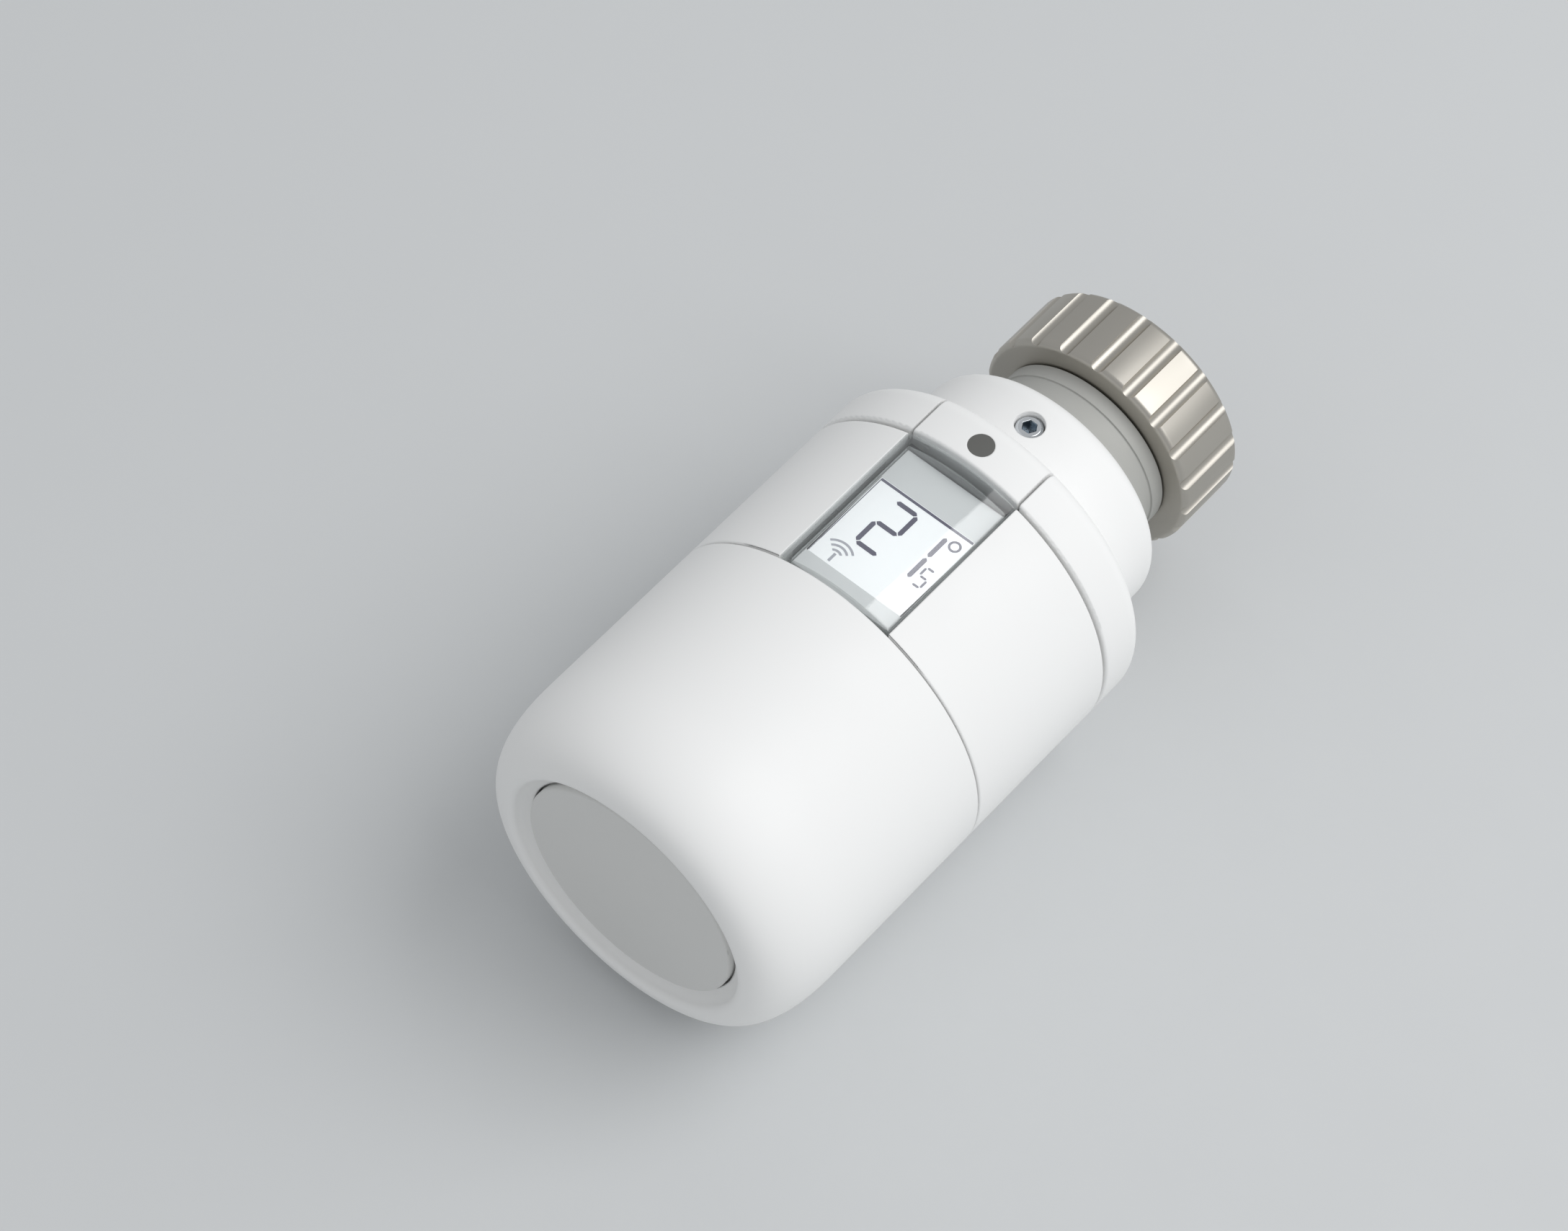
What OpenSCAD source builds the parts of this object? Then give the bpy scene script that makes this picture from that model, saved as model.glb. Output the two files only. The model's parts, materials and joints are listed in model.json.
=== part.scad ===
// Electronic thermostatic radiator valve head on a threaded valve adapter.
// +Y points into the valve, -Y at the user, +Z up through the display window.
// The origin is the middle of the valve thread, on the axis of the head.

/* [Outer shells] */
// Diameter of the head
head_d = 54; // [52:0.5:66]
// Length of the turning dial, from its seam to its rim
dial_len = 41.9; // [41:0.1:52]
// Length of the sleeve behind the dial
sleeve_len = 27; // [26.5:0.5:34]
// Length of the rear collar
collar_len = 8.75; // [8.5:0.25:12]
// Length of the neck behind the collar
neck_len = 13; // [12.5:0.5:17]
// Diameter of the neck
neck_d = 40; // [36:0.5:46]
// Wall of the sleeve and of the collar
shell_t = 2; // [1.8:0.1:2.4]
// Wall of the dial
dial_t = 2.4; // [2.2:0.1:2.6]
// Wall of the drum that the dial turns on
drum_t = 1.2; // [1:0.1:1.4]
// Width of the visible joint between dial and sleeve
front_seam = 0.25; // [0.2:0.05:0.4]
// Width of the visible joint between sleeve and collar
rear_seam = 0.5; // [0.45:0.05:0.7]

/* [Dial front and button] */
// Radius of the rim where the dial front turns inward
rim_r = 19.8; // [19:0.1:21]
// Length of the soft shoulder of the dial
shoulder_len = 14.2; // [10:0.1:18]
// Radius of the round channel around the button
channel_r = 2; // [1.6:0.1:2.2]
// Radius of the push button
button_r = 17.6; // [15:0.1:17.7]
// Depth of the button face below the rim
button_sink = 1.2; // [0.8:0.1:1.6]
// Thickness of the button disc
button_t = 1.6; // [1.4:0.1:1.8]
// Travel of the push button
button_travel = 0.8; // [0.4:0.1:0.8]

/* [Display window] */
// Width of the window and of the release tab
window_w = 18.8; // [18:0.1:19.6]
// Thickness of the clear lens
lens_t = 1.4; // [1.2:0.1:1.6]
// Visible width of the display
lcd_w = 16.2; // [15.5:0.1:16.2]
// Visible length of the display
lcd_len = 15.6; // [14:0.1:16]
// Height of the display surface above the axis
lcd_z = 23.4; // [23.2:0.1:23.6]

/* [Valve adapter] */
// Minor radius of the M30 x 1.5 valve thread
thread_r = 14.188; // [14.188]
// Length of the valve thread
thread_len = 8; // [7:0.5:10]
// Outside diameter of the union nut
nut_d = 36; // [34:0.5:40]
// Number of grip flutes around the union nut
nut_flutes = 20; // [12:1:24]
// Diameter of the adapter boss that the head clamps on
boss_d = 27.6; // [26:0.1:29]
// Length of boss that shows between the neck and the nut
boss_show = 8; // [6:0.5:12]
// Radius of the open bore through the adapter
adapter_bore_r = 9.5; // [8.5:0.1:9.8]

/* [Power and drive] */
// Radius of an AA cell
cell_r = 7.25; // [7.25]
// Length of an AA cell with its nub
cell_len = 50.5; // [50.5]
// Module of the gear train
gear_m = 0.5; // [0.48:0.01:0.52]
// Teeth of the three small gears
small_teeth = 12; // [12:1:13]
// Teeth of the two large transfer gears
large_teeth = 30; // [28:1:31]
// Teeth of the output gear
output_teeth = 44; // [40:1:46]
// Radius of the threaded part of the spindle
spindle_r = 3; // [2.6:0.1:3.4]
// Radius of the guided head of the spindle
plunger_r = 5; // [4.6:0.1:5.4]

/* [Clearances] */
// Radial clearance of a running shaft
run_gap = 0.05; // [0.03:0.01:0.08]
// Clearance between pieces that pass each other
pass_gap = 0.3; // [0.3:0.05:0.4]

/* [Hidden] */
round_fn = 128;
fine_fn = 48;
head_r = head_d / 2;
neck_r = neck_d / 2;
boss_r = boss_d / 2;
nut_r = nut_d / 2;
// Thickness of the lip that holds the union nut on the adapter
nut_lip_t = 1.6;
// Room behind the lip for the tail and its circlip
nut_relief = 2.4;
// Stations along the axis, from the nut forward
nut_front = -thread_len / 2 - nut_relief - nut_lip_t;
neck_rear = nut_front - boss_show;
collar_rear = neck_rear - neck_len;
collar_front = collar_rear - collar_len;
sleeve_front = collar_front - sleeve_len;
dial_front = sleeve_front - dial_len;
// Inside radii of the shells
shell_r = head_r - shell_t;
dial_r = head_r - dial_t;
land_r = dial_r - run_gap - 0.03;
drum_out = land_r - 0.3;
drum_in = drum_out - drum_t;
cavity_r = shell_r - 0.1;
window_x = window_w / 2;
// Rear web of the housing, which carries the gear plate
web_t = 3.2;
web_front = collar_rear - web_t;
neck_bore_r = boss_r + 0.06;
// Clamp screw
clamp_y = collar_rear + 6.3;
clamp_r = 2;
clamp_top = neck_r - 0.5;
groove_depth = 0.9;
clamp_tip = boss_r - groove_depth + 0.1;
bush_r = 3.2;
// Release tab and its pivot
tab_x = window_x - 0.4;
tab_in = shell_r + 0.2;
tab_pin_r = 0.8;
tab_pin_y = collar_rear - 1.6;
tab_pin_z = head_r - 4.7;
tab_front = collar_front + rear_seam;
tab_bar_z = head_r - 6.8;
tab_bar_t = 1.4;
tab_bar_x = window_x + 2;
tab_bar_front = tab_front + 1.2;
dot_r = 1.9;
dot_y = collar_rear - 5;
// Button, drum front wall and switch, each set back from the rim
button_face = dial_front + button_sink;
button_back = button_face + button_t;
dial_wall_in = dial_front + 3.5;
drum_front = dial_wall_in + pass_gap;
drum_wall_t = 1;
peg_r = 1.2;
peg_ring = 12;
peg_end = drum_front + drum_wall_t + 1;
button_boss_r = 3;
button_boss_end = button_back + 0.45;
tact_top = button_boss_end + button_travel + 0.05;
tact_h = 1.8;
tact_nub = 0.3;
tact_side = 6;
switch_pcb_t = 1;
switch_pcb_y = tact_top + tact_h;
chassis_front = switch_pcb_y + switch_pcb_t;
// Cells and their contacts
front_wall_t = 1.4;
contact_t = 0.4;
cell_front = chassis_front + front_wall_t + contact_t;
cell_rear = cell_front + cell_len;
rear_contact_h = 1.1;
nub_r = 2.75;
nub_len = 1;
cell_x = cell_r + 0.35;
cell_z = -2;
chassis_r = drum_in - 0.6;
bulkhead_front = cell_rear + rear_contact_h;
bulkhead_t = 1.3;
bulkhead_rear = bulkhead_front + bulkhead_t;
plate_t = 2.2;
plate_front = web_front - plate_t;
// Gear planes between the bulkhead and the gear plate
plane_gap = 0.4;
plane_w = (plate_front - bulkhead_rear - 4 * plane_gap) / 3;
plane1 = bulkhead_rear + plane_gap;
plane2 = plane1 + plane_w + plane_gap;
plane3 = plane2 + plane_w + plane_gap;
// Places of the shafts, as [x, z]
motor_at = [0, -15];
first_dir = 153;
step_len = gear_m * (small_teeth + large_teeth) / 2;
last_len = gear_m * (small_teeth + output_teeth) / 2;
first_at = motor_at + step_len * [cos(first_dir), sin(first_dir)];
second_at = last_len * [cos(second_dir()), sin(second_dir())];
pin_r = 0.75;
hub_r = 5;
journal_r = 7;
motor_shaft_r = 0.5;
motor_r = 6;
motor_h = 10;
motor_len = 15;
motor_cap_t = 2;
// Spindle
lead = 1.5;
stroke = 4.5;
seat_y = -thread_len / 2 - 0.2;
tip_y = seat_y - 11.6 - stroke;
plunger_front = plate_front + 0.7;
guide_wall = 1.6;
guide_rear = web_front + 8;
// Electronics, from the deck up
deck_z = lcd_z - 5.4;
rail_in = 10.6;
rail_t = 1.4;
pcb_t = 1.4;
pcb_x = rail_in - 0.2;
pcb_rear = collar_front - 3.5;
pcb_front = sleeve_front - 7;
guide_t = 1.6;
lcd_t = 1.6;
lens_front = sleeve_front + 0.3;
lens_rear = collar_front - 0.1;
lens_x = window_x - 0.25;
lens_wall = 0.75;
lens_bottom = lcd_z - 2.4;
holder_x = lens_x - lens_wall - 0.05;
lcd_rear = collar_front - 7.05;
lcd_front = lcd_rear - lcd_len;
lcd_x = lcd_w / 2;
segment_t = 0.04;
screw_r = 1.1;
screw_head_r = 2.1;
screw_head_t = 1.2;
post_r = 2.6;
post_at = [[14.2, 12.2], [14.2, -12.1], [-14.2, 12.2]];

// The angle at which the second gear meets both the first and the output gear
function second_dir() =
  let(a = norm(first_at))
  atan2(first_at[1], first_at[0]) - acos((a * a + last_len * last_len
    - step_len * step_len) / (2 * a * last_len));

// The involute of an angle whose secant is r over the base radius, in degrees
function involute(r, base) =
  let(t = sqrt(max(0, r * r / (base * base) - 1)))
  t * 180 / PI - atan(t);

// Outline of a spur gear, with one tooth centred on the +X axis
function gear_outline(teeth) =
  let(
    pitch = gear_m * teeth / 2,
    base = pitch * cos(20),
    tip = pitch + 0.8 * gear_m,
    root = pitch - 1.15 * gear_m,
    start = max(base, root + 0.02),
    half = 90 / teeth - 3.4 * gear_m / pitch + involute(pitch, base),
    flank = [for (k = [0:4]) start + (tip - start) * k / 4]
  )
  [for (i = [0:teeth - 1])
    let(
      mid = 360 * i / teeth,
      up = [for (r = flank) [r, mid - half + involute(r, base)]],
      down = [for (k = [4:-1:0]) [flank[k], mid + half - involute(flank[k], base)]],
      rise = [root, mid - half + involute(start, base)],
      fall = [root, mid + half - involute(start, base)]
    )
    for (p = concat([rise], up, down, [fall])) p[0] * [cos(p[1]), sin(p[1])]];

// How far a gear is turned so that it meshes with a driver turned by phase,
// where dir is the direction from the driver to it
function mesh_phase(dir, phase, driver, driven) =
  dir + 180 + 180 / driven - (phase - dir) * driver / driven;

// Points of an arc in the [radius, y] plane
function arc(c, r, a0, a1, n) =
  [for (k = [0:n]) c + r * [cos(a0 + (a1 - a0) * k / n), sin(a0 + (a1 - a0) * k / n)]];

// The soft shoulder of the dial, from radius r to depth y at the rim's radius
function shoulder(r, y, n = 20) =
  [for (k = [0:n])
    let(a = 90 * k / n, deep = dial_front + shoulder_len - y)
    [rim_r + (r - rim_r) * pow(cos(a), 0.8), dial_front + shoulder_len - deep * pow(sin(a), 0.8)]];

// The points of a list in reverse order
function backward(points) = [for (k = [len(points) - 1:-1:0]) points[k]];

// Places a profile drawn as [radius, y] around the axis of the head
module turned(fn = round_fn) rotate([-90, 0, 0]) rotate_extrude($fn = fn) children();

// A cylinder along Y from y0 to y1, at [x, z]
module rod(r, y0, y1, at = [0, 0], fn = fine_fn)
  translate([at[0], y0, at[1]]) rotate([-90, 0, 0]) cylinder(r = r, h = y1 - y0, $fn = fn);

// A ring along Y
module ring(r_out, r_in, y0, y1, fn = round_fn)
  turned(fn) translate([r_in, y0]) square([r_out - r_in, y1 - y0]);

// A box given by its low and high corners
module box(low, high) translate(low) cube(high - low);

// Everything in the window channel, from y0 to y1, above height z0
module channel(half, y0, y1, z0) box([-half, y0, z0], [half, y1, head_r + 5]);

// What a convex round of radius r takes off a corner, inward along qr and qs
module corner_round(c, r, qr, qs)
  translate([c[0] - qr * r, c[1] - qs * r]) difference() {
    translate([qr > 0 ? 0 : -r - 0.1, qs > 0 ? 0 : -r - 0.1]) square(r + 0.1);
    circle(r = r, $fn = fine_fn);
  }

// A round bar along a list of points
module bar(points, r, sides = 8) {
  n = len(points);
  function way(k) = points[min(k + 1, n - 1)] - points[max(k - 1, 0)];
  function side(k) = let(s = cross(way(k), [0.13, 0.21, 1])) s / norm(s);
  function over(k) = let(s = cross(side(k), way(k))) s / norm(s);
  rings = [for (k = [0:n - 1]) for (j = [0:sides - 1])
    points[k] + r * (cos(360 * j / sides) * side(k) + sin(360 * j / sides) * over(k))];
  walls = [for (k = [0:n - 2]) for (j = [0:sides - 1]) let(
    i = (j + 1) % sides, a = k * sides, b = a + sides
  ) for (f = [[a + j, a + i, b + i], [a + j, b + i, b + j]]) f];
  ends = [[for (j = [sides - 1:-1:0]) j], [for (j = [0:sides - 1]) (n - 1) * sides + j]];
  polyhedron(rings, concat(walls, ends));
}

module spur_gear(teeth, y0, y1, phase, at)
  translate([at[0], y0, at[1]]) rotate([-90, 0, 0]) rotate(phase)
    linear_extrude(y1 - y0) polygon(gear_outline(teeth));

// The nut that screws onto the valve, held on the adapter's tail by its lip
module union_nut() color("#B7B8B6") difference() {
  turned() difference() {
    translate([11, nut_front]) square([nut_r - 11, thread_len / 2 - nut_front]);
    translate([0, -thread_len / 2]) square([thread_r, thread_len + 1]);
    translate([0, nut_front + nut_lip_t]) square([thread_r + 0.6, nut_relief]);
    translate([0, nut_front - 1]) square([tail_r() + 0.08, nut_lip_t + 2]);
    corner_round([nut_r, nut_front], 1, 1, -1);
    corner_round([nut_r, thread_len / 2], 1, 1, 1);
  }
  for (i = [0:nut_flutes - 1])
    rotate([0, 360 * i / nut_flutes, 0])
      rod(1.2, nut_front - 1, thread_len / 2 + 1, [nut_r + 0.5, 0]);
}

function tail_r() = boss_r - 1.5;

// The boss that the head slides on and is clamped to
module valve_adapter() color("#B9B9B5") turned() difference() {
  union() {
    translate([adapter_bore_r, web_front + 3.4])
      square([boss_r - adapter_bore_r, nut_front - 0.2 - web_front - 3.4]);
    translate([adapter_bore_r, nut_front - 2.6]) square([boss_r + 0.35 - adapter_bore_r, 2.4]);
    translate([adapter_bore_r, nut_front - 1]) square([tail_r() - adapter_bore_r, seat_y - nut_front + 1]);
  }
  corner_round([boss_r, web_front + 3.4], 0.8, 1, -1);
  polygon([
    [boss_r - groove_depth, clamp_y - 1.2], [boss_r - groove_depth, clamp_y + 1.2],
    [boss_r + 0.1, clamp_y + 1.2 + groove_depth], [boss_r + 0.1, clamp_y - 1.2 - groove_depth]
  ]);
  translate([tail_r() - 0.8, nut_front + nut_lip_t + 0.3]) square([2, 1]);
}

// The open ring that keeps the union nut on the tail
module adapter_circlip() color("#8F9294") difference() {
  ring(tail_r() + 0.7, tail_r() - 0.75, nut_front + nut_lip_t + 0.35, nut_front + nut_lip_t + 1.25);
  box([-2.5, nut_front, 5], [2.5, 0, boss_r + 3]);
}

// Outer profile of the collar and the neck
module collar_profile(inner) difference() {
  translate([inner, collar_front + rear_seam])
    square([head_r - inner, collar_rear - collar_front - rear_seam]);
  corner_round([head_r, collar_rear], 2.8, 1, 1);
  corner_round([head_r, collar_front + rear_seam], 0.4, 1, -1);
}

// The collar and the neck, in one moulding
module rear_housing() color("#F4F4F2") difference() {
  turned() difference() {
    union() {
      collar_profile(neck_bore_r);
      translate([neck_bore_r, web_front]) square([neck_r - neck_bore_r, neck_rear - web_front]);
      translate([cavity_r - 1.6, collar_front - 2.3]) square([1.5, 4]);
    }
    translate([0, collar_front + rear_seam + 1])
      square([cavity_r, web_front - collar_front - rear_seam - 1]);
    translate([0, collar_front - 3]) square([cavity_r - 1.6, 5]);
    corner_round([neck_r, neck_rear], 3.4, 1, 1);
    corner_round([neck_bore_r, neck_rear], 0.5, -1, 1);
  }
  channel(window_x, collar_front - 4, collar_rear + 0.01, neck_r + 0.3);
  intersection() {
    rod(cavity_r, collar_front - 4, collar_front + 1.6, [0, 0], round_fn);
    box([-tab_bar_x - 0.4, collar_front - 4, 0], [tab_bar_x + 0.4, collar_front + 2, head_r]);
  }
  translate([-tab_bar_x - 0.2, tab_pin_y, tab_pin_z]) rotate([0, 90, 0])
    cylinder(r = tab_pin_r + run_gap, h = 2 * tab_bar_x + 0.4, $fn = fine_fn);
  translate([0, clamp_y, 0]) cylinder(r = clamp_r + 0.2, h = neck_r + 2, $fn = fine_fn);
  translate([0, clamp_y, boss_r + 0.6]) cylinder(r = bush_r, h = 3.4, $fn = fine_fn);
  for (at = post_at) rod(screw_r + run_gap, web_front - 1, web_front + 2, at);
}

// The threaded metal bush of the clamp screw
module screw_bush() color("#B08D4A") translate([0, clamp_y, boss_r + 0.6]) difference() {
  cylinder(r = bush_r, h = 3.4, $fn = fine_fn);
  translate([0, 0, -1]) cylinder(r = clamp_r + run_gap, h = 6, $fn = fine_fn);
}

// The clamp screw, with a cone point and a hexagon socket
module set_screw() color("#C9CCCF") translate([0, clamp_y, 0]) difference() {
  rotate_extrude($fn = fine_fn) polygon([
    [0, clamp_tip], [0.9, clamp_tip], [clamp_r, clamp_tip + 1.1],
    [clamp_r, clamp_top - 0.4], [clamp_r - 0.4, clamp_top], [0, clamp_top]
  ]);
  translate([0, 0, clamp_top - 2.2]) cylinder(r = 2 / sqrt(3), h = 3, $fn = 6);
}

// The release tab: its skin, pivot block, cross bar and two hooked fingers
module release_tab() color("#F4F4F2") difference() {
  union() {
    intersection() {
      turned() collar_profile(tab_in);
      channel(tab_x, tab_front, collar_rear, 0);
    }
    intersection() {
      turned() collar_profile(neck_r + 0.6);
      box([-tab_x, collar_rear - 3, tab_pin_z - 1.5], [tab_x, collar_rear - 0.2, head_r - 0.8]);
    }
    box([-7, tab_bar_front, tab_bar_z], [7, tab_bar_front + 1.2, tab_in + 0.2]);
    box([-tab_bar_x, tab_bar_front, tab_bar_z], [tab_bar_x, tab_bar_front + 2.2, tab_bar_z + tab_bar_t]);
    for (s = [-1, 1]) translate([s * (tab_bar_x - 0.7), 0, 0]) {
      box([-0.7, tab_bar_front - 5.6, tab_bar_z], [0.7, tab_bar_front + 1, tab_bar_z + tab_bar_t]);
      box([-0.7, tab_bar_front - 5.6, tab_bar_z + 1], [0.7, tab_bar_front - 4.6, tab_bar_z + tab_bar_t + 0.3]);
    }
  }
  translate([-tab_x - 1, tab_pin_y, tab_pin_z]) rotate([0, 90, 0])
    cylinder(r = tab_pin_r, h = 2 * tab_x + 2, $fn = fine_fn);
  translate([0, dot_y, head_r - 0.7]) cylinder(r = dot_r, h = 3, $fn = fine_fn);
}

// The grey marker set flush in the tab
module tab_dot() color("#6A6A68") intersection() {
  translate([0, dot_y, head_r - 0.7]) cylinder(r = dot_r, h = 3, $fn = fine_fn);
  turned() translate([0, collar_front]) square([head_r, collar_len]);
}

module tab_pin() color("#9EA1A4") translate([-tab_bar_x, tab_pin_y, tab_pin_z])
  rotate([0, 90, 0]) cylinder(r = tab_pin_r, h = 2 * tab_bar_x, $fn = fine_fn);

// The leaf that lifts the tab, seated on top of the gear plate
module tab_spring() color("#A8ABAE") rotate([0, 90, 0]) translate([0, 0, -3])
  linear_extrude(6) polygon([for (p = [
    [0, 0], [-1.6, 0], [-1.6, 0.25], [-0.25, 0.25], [-3.6, spring_rise()],
    [-3.4, spring_rise() + 0.25], [0.2, 0.2]
  ]) [-(deck_z - 1.5) - p[1], plate_front + plate_t - 0.3 + p[0]]]);

function spring_rise() = tab_bar_z - deck_z + 1.5 - 0.8;

// The sleeve, open along the top for the display window
module sleeve() color("#F4F4F2") difference() {
  turned() polygon([
    [shell_r, sleeve_front], [head_r - 0.15, sleeve_front], [head_r, sleeve_front + 0.15],
    [head_r, collar_front - 0.35], [head_r - 0.35, collar_front], [shell_r, collar_front]
  ]);
  channel(window_x, sleeve_front - 1, collar_front + 1, 0);
}

// The drum that carries the dial, with its front wall and its rear flange
module inner_drum() color("#DADAD8") difference() {
  turned() union() {
    polygon(concat(
      [[tact_side, drum_front + drum_wall_t], [tact_side, drum_front]],
      backward(shoulder(drum_out, drum_front, 12)),
      [[drum_out, sleeve_front + 1], [drum_in, sleeve_front + 1]],
      shoulder(drum_in, drum_front + drum_wall_t, 12)
    ));
    translate([drum_in, dial_front + shoulder_len + 0.5]) square([land_r - drum_in, 3]);
    translate([drum_in, sleeve_front - 9]) square([land_r - drum_in, 3]);
    translate([drum_in, sleeve_front]) square([shell_r - drum_in, 3]);
  }
  ring(drum_out + 2, drum_out - 0.5, sleeve_front - 2.6, sleeve_front - 1.6);
  channel(window_x, sleeve_front, sleeve_front + 5, 0);
  for (a = [0:90:270]) rod(peg_r + run_gap, drum_front - 1, drum_front + 2, peg_at(a));
}

function peg_at(a) = peg_ring * [cos(a + 45), sin(a + 45)];

// The open spring ring that keeps the dial on its drum
module dial_retaining_ring() color("#9EA1A4") difference() {
  ring(dial_r + 0.5, drum_out - 0.45, sleeve_front - 2.55, sleeve_front - 1.65);
  box([-3, sleeve_front - 4, -head_r], [3, sleeve_front, 0]);
}

// The turning dial, with its soft shoulder and the round channel at its mouth
module dial() color("#F6F6F4") turned(192) difference() {
  polygon(concat(
    [[button_r + 0.35, dial_wall_in], [button_r + 0.35, dial_front + 2.3]],
    arc([rim_r - channel_r - 0.1, dial_front + 0.3], channel_r, 85, 5, 10),
    backward(shoulder(head_r, dial_front)),
    [[head_r, sleeve_front - front_seam], [dial_r, sleeve_front - front_seam]],
    shoulder(dial_r, dial_wall_in, 12)
  ));
  translate([0, sleeve_front - 3]) square([dial_r + 0.8, 1.8]);
  translate([0, sleeve_front - 14]) square([dial_r + 1.2, 3]);
}

// The magnet ring that tells the sensor how far the dial is turned
module encoder_magnet_ring() color("#3A3A3C")
  ring(dial_r + 1.2, dial_r + 0.1, sleeve_front - 14, sleeve_front - 11);

// The button: its disc, central boss and four guide pegs
module button_cap() color("#D4D4D2") difference() {
  union() {
    turned() difference() {
      translate([0, button_face]) square([button_r, button_t]);
      corner_round([button_r, button_face], 0.4, 1, -1);
    }
    rod(button_boss_r, button_back - 0.5, button_boss_end);
    for (a = [0:90:270]) rod(peg_r, button_back - 0.5, peg_end, peg_at(a));
  }
  for (a = [0:90:270]) translate([peg_at(a)[0], button_back - 0.8, peg_at(a)[1]])
    rotate([-90, 0, 0]) difference() {
      cylinder(r = 2.4, h = 2, $fn = fine_fn);
      cylinder(r = peg_r, h = 5, center = true, $fn = fine_fn);
    }
}

// The four coil springs around the pegs
module button_springs() color("#A8ABAE")
  for (a = [0:90:270])
    bar([for (k = [0:48]) [
      peg_at(a)[0] + 1.8 * cos(k * 15),
      button_back - 0.6 + (drum_front - button_back + 0.4) * k / 48,
      peg_at(a)[1] + 1.8 * sin(k * 15)
    ]], 0.18, 6);

// The clear cover of the display: a curved top with a wall all around
module window_lens() color([0.9, 0.93, 0.95, 0.4]) difference() {
  intersection() {
    rod(head_r, lens_front, lens_rear, [0, 0], round_fn);
    channel(lens_x, lens_front, lens_rear, lens_bottom);
  }
  intersection() {
    rod(head_r - lens_t, lens_front + 1, lens_rear - 1, [0, 0], round_fn);
    channel(lens_x - lens_wall, lens_front + 1, lens_rear - 1, lens_bottom - 1);
  }
}

// The frame that holds the display and its light guide on the board
module display_holder() color("#E6E7E8") difference() {
  box([-holder_x, lens_front + 1.1, deck_z + pcb_t], [holder_x, lens_rear - 1.1, lcd_z]);
  box([-lcd_x, lcd_front, deck_z], [lcd_x, lcd_rear, lcd_z + 1]);
  box([-3, lcd_front - 1.6, deck_z], [3, lcd_front + 1, lcd_z - lcd_t]);
}

// The two glasses of the display
module lcd_panel() color("#EDF0F1")
  box([-lcd_x, lcd_front, lcd_z - lcd_t - segment_t], [lcd_x, lcd_rear, lcd_z - segment_t]);

module light_guide() color("#F5F8FA")
  box([-lcd_x + 0.2, lcd_front + 1.2, deck_z + pcb_t], [lcd_x - 0.2, lcd_rear, deck_z + pcb_t + guide_t]);

module lcd_connector() color("#D9A0A0")
  box([-2.8, lcd_front - 1.4, deck_z + pcb_t], [2.8, lcd_front + 0.8, lcd_z - lcd_t - segment_t]);

// One bar of a digit, from p to q, with pointed ends
module segment_bar(p, q, w) {
  d = (q - p) / norm(q - p);
  s = [-d[1], d[0]] * w / 2;
  polygon([p, p + d * w / 2 + s, q - d * w / 2 + s, q, q - d * w / 2 - s, p + d * w / 2 - s]);
}

// A digit of seven bars, of which lit are drawn; +Y is its top
module digit(at, wide, tall, w, lit) {
  corners = [[0, 0], [wide, 0], [0, tall / 2], [wide, tall / 2], [0, tall], [wide, tall]];
  bars = [[0, 1], [0, 2], [1, 3], [2, 3], [2, 4], [3, 5], [4, 5]];
  translate(at) for (b = lit) {
    p = corners[bars[b][0]];
    q = corners[bars[b][1]];
    d = (q - p) / norm(q - p) * 0.12;
    segment_bar(p + d, q - d, w);
  }
}

// The dark marks of the display
module lcd_segments() color("#4A4A5A") translate([0, 0, lcd_z - segment_t]) linear_extrude(segment_t) {
  digit([-4.15, lcd_front + 5.3], 3.75, 8.5, 0.7, [0, 1, 3, 5, 6]);
  digit([1, lcd_front + 5.3], 3.75, 8.5, 0.7, [2, 5]);
  digit([5.75, lcd_front + 5.05], 1.35, 3.25, 0.35, [0, 2, 3, 4, 6]);
  translate([6.42, lcd_front + 13.3]) difference() {
    circle(r = 0.94, $fn = fine_fn);
    circle(r = 0.59, $fn = fine_fn);
  }
  translate([-5, lcd_front + 0.4]) square([0.4, 1.5]);
  translate([-4.8, lcd_front + 1.2]) for (r = [1.2, 2, 2.8]) intersection() {
    difference() {
      circle(r = r + 0.17, $fn = fine_fn);
      circle(r = r - 0.17, $fn = fine_fn);
    }
    polygon([[0, 0.3], [-4, 3.7], [0, 5], [4, 3.7]]);
  }
  translate([-lcd_x + 0.15, lcd_rear - 0.5]) square([lcd_w - 0.3, 0.4]);
  translate([-lcd_x + 0.1, lcd_front + 0.1]) square([0.12, lcd_len - 0.3]);
}

module main_pcb() color("#2E7D4F") difference() {
  box([-pcb_x, pcb_front, deck_z], [pcb_x, pcb_rear, deck_z + pcb_t]);
  for (x = [-1, 1]) translate([x * (pcb_x - 1.6), pcb_front + 2.4, deck_z - 1])
    cylinder(r = 0.85, h = 4, $fn = fine_fn);
}

module pcb_screws() color("#B5B8BA")
  for (x = [-1, 1]) translate([x * (pcb_x - 1.6), pcb_front + 2.4, deck_z]) {
    translate([0, 0, -3.5]) cylinder(r = 0.8, h = 3.5 + pcb_t, $fn = fine_fn);
    translate([0, 0, pcb_t]) cylinder(r = 1.5, h = 0.7, $fn = fine_fn);
  }

module mcu_chip() color("#2B2B2D")
  box([-3.5, lcd_front + 2, deck_z - 1], [3.5, lcd_front + 9, deck_z]);

module radio_module() color("#B9BCBE")
  box([-6.8, pcb_front + 0.5, deck_z - 2.2], [6.8, pcb_front + 11.5, deck_z]);

module dial_sensor() color("#2B2B2D")
  box([-1.6, pcb_front + 1, deck_z + pcb_t], [1.6, pcb_front + 3.6, deck_z + pcb_t + 1.1]);

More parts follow.
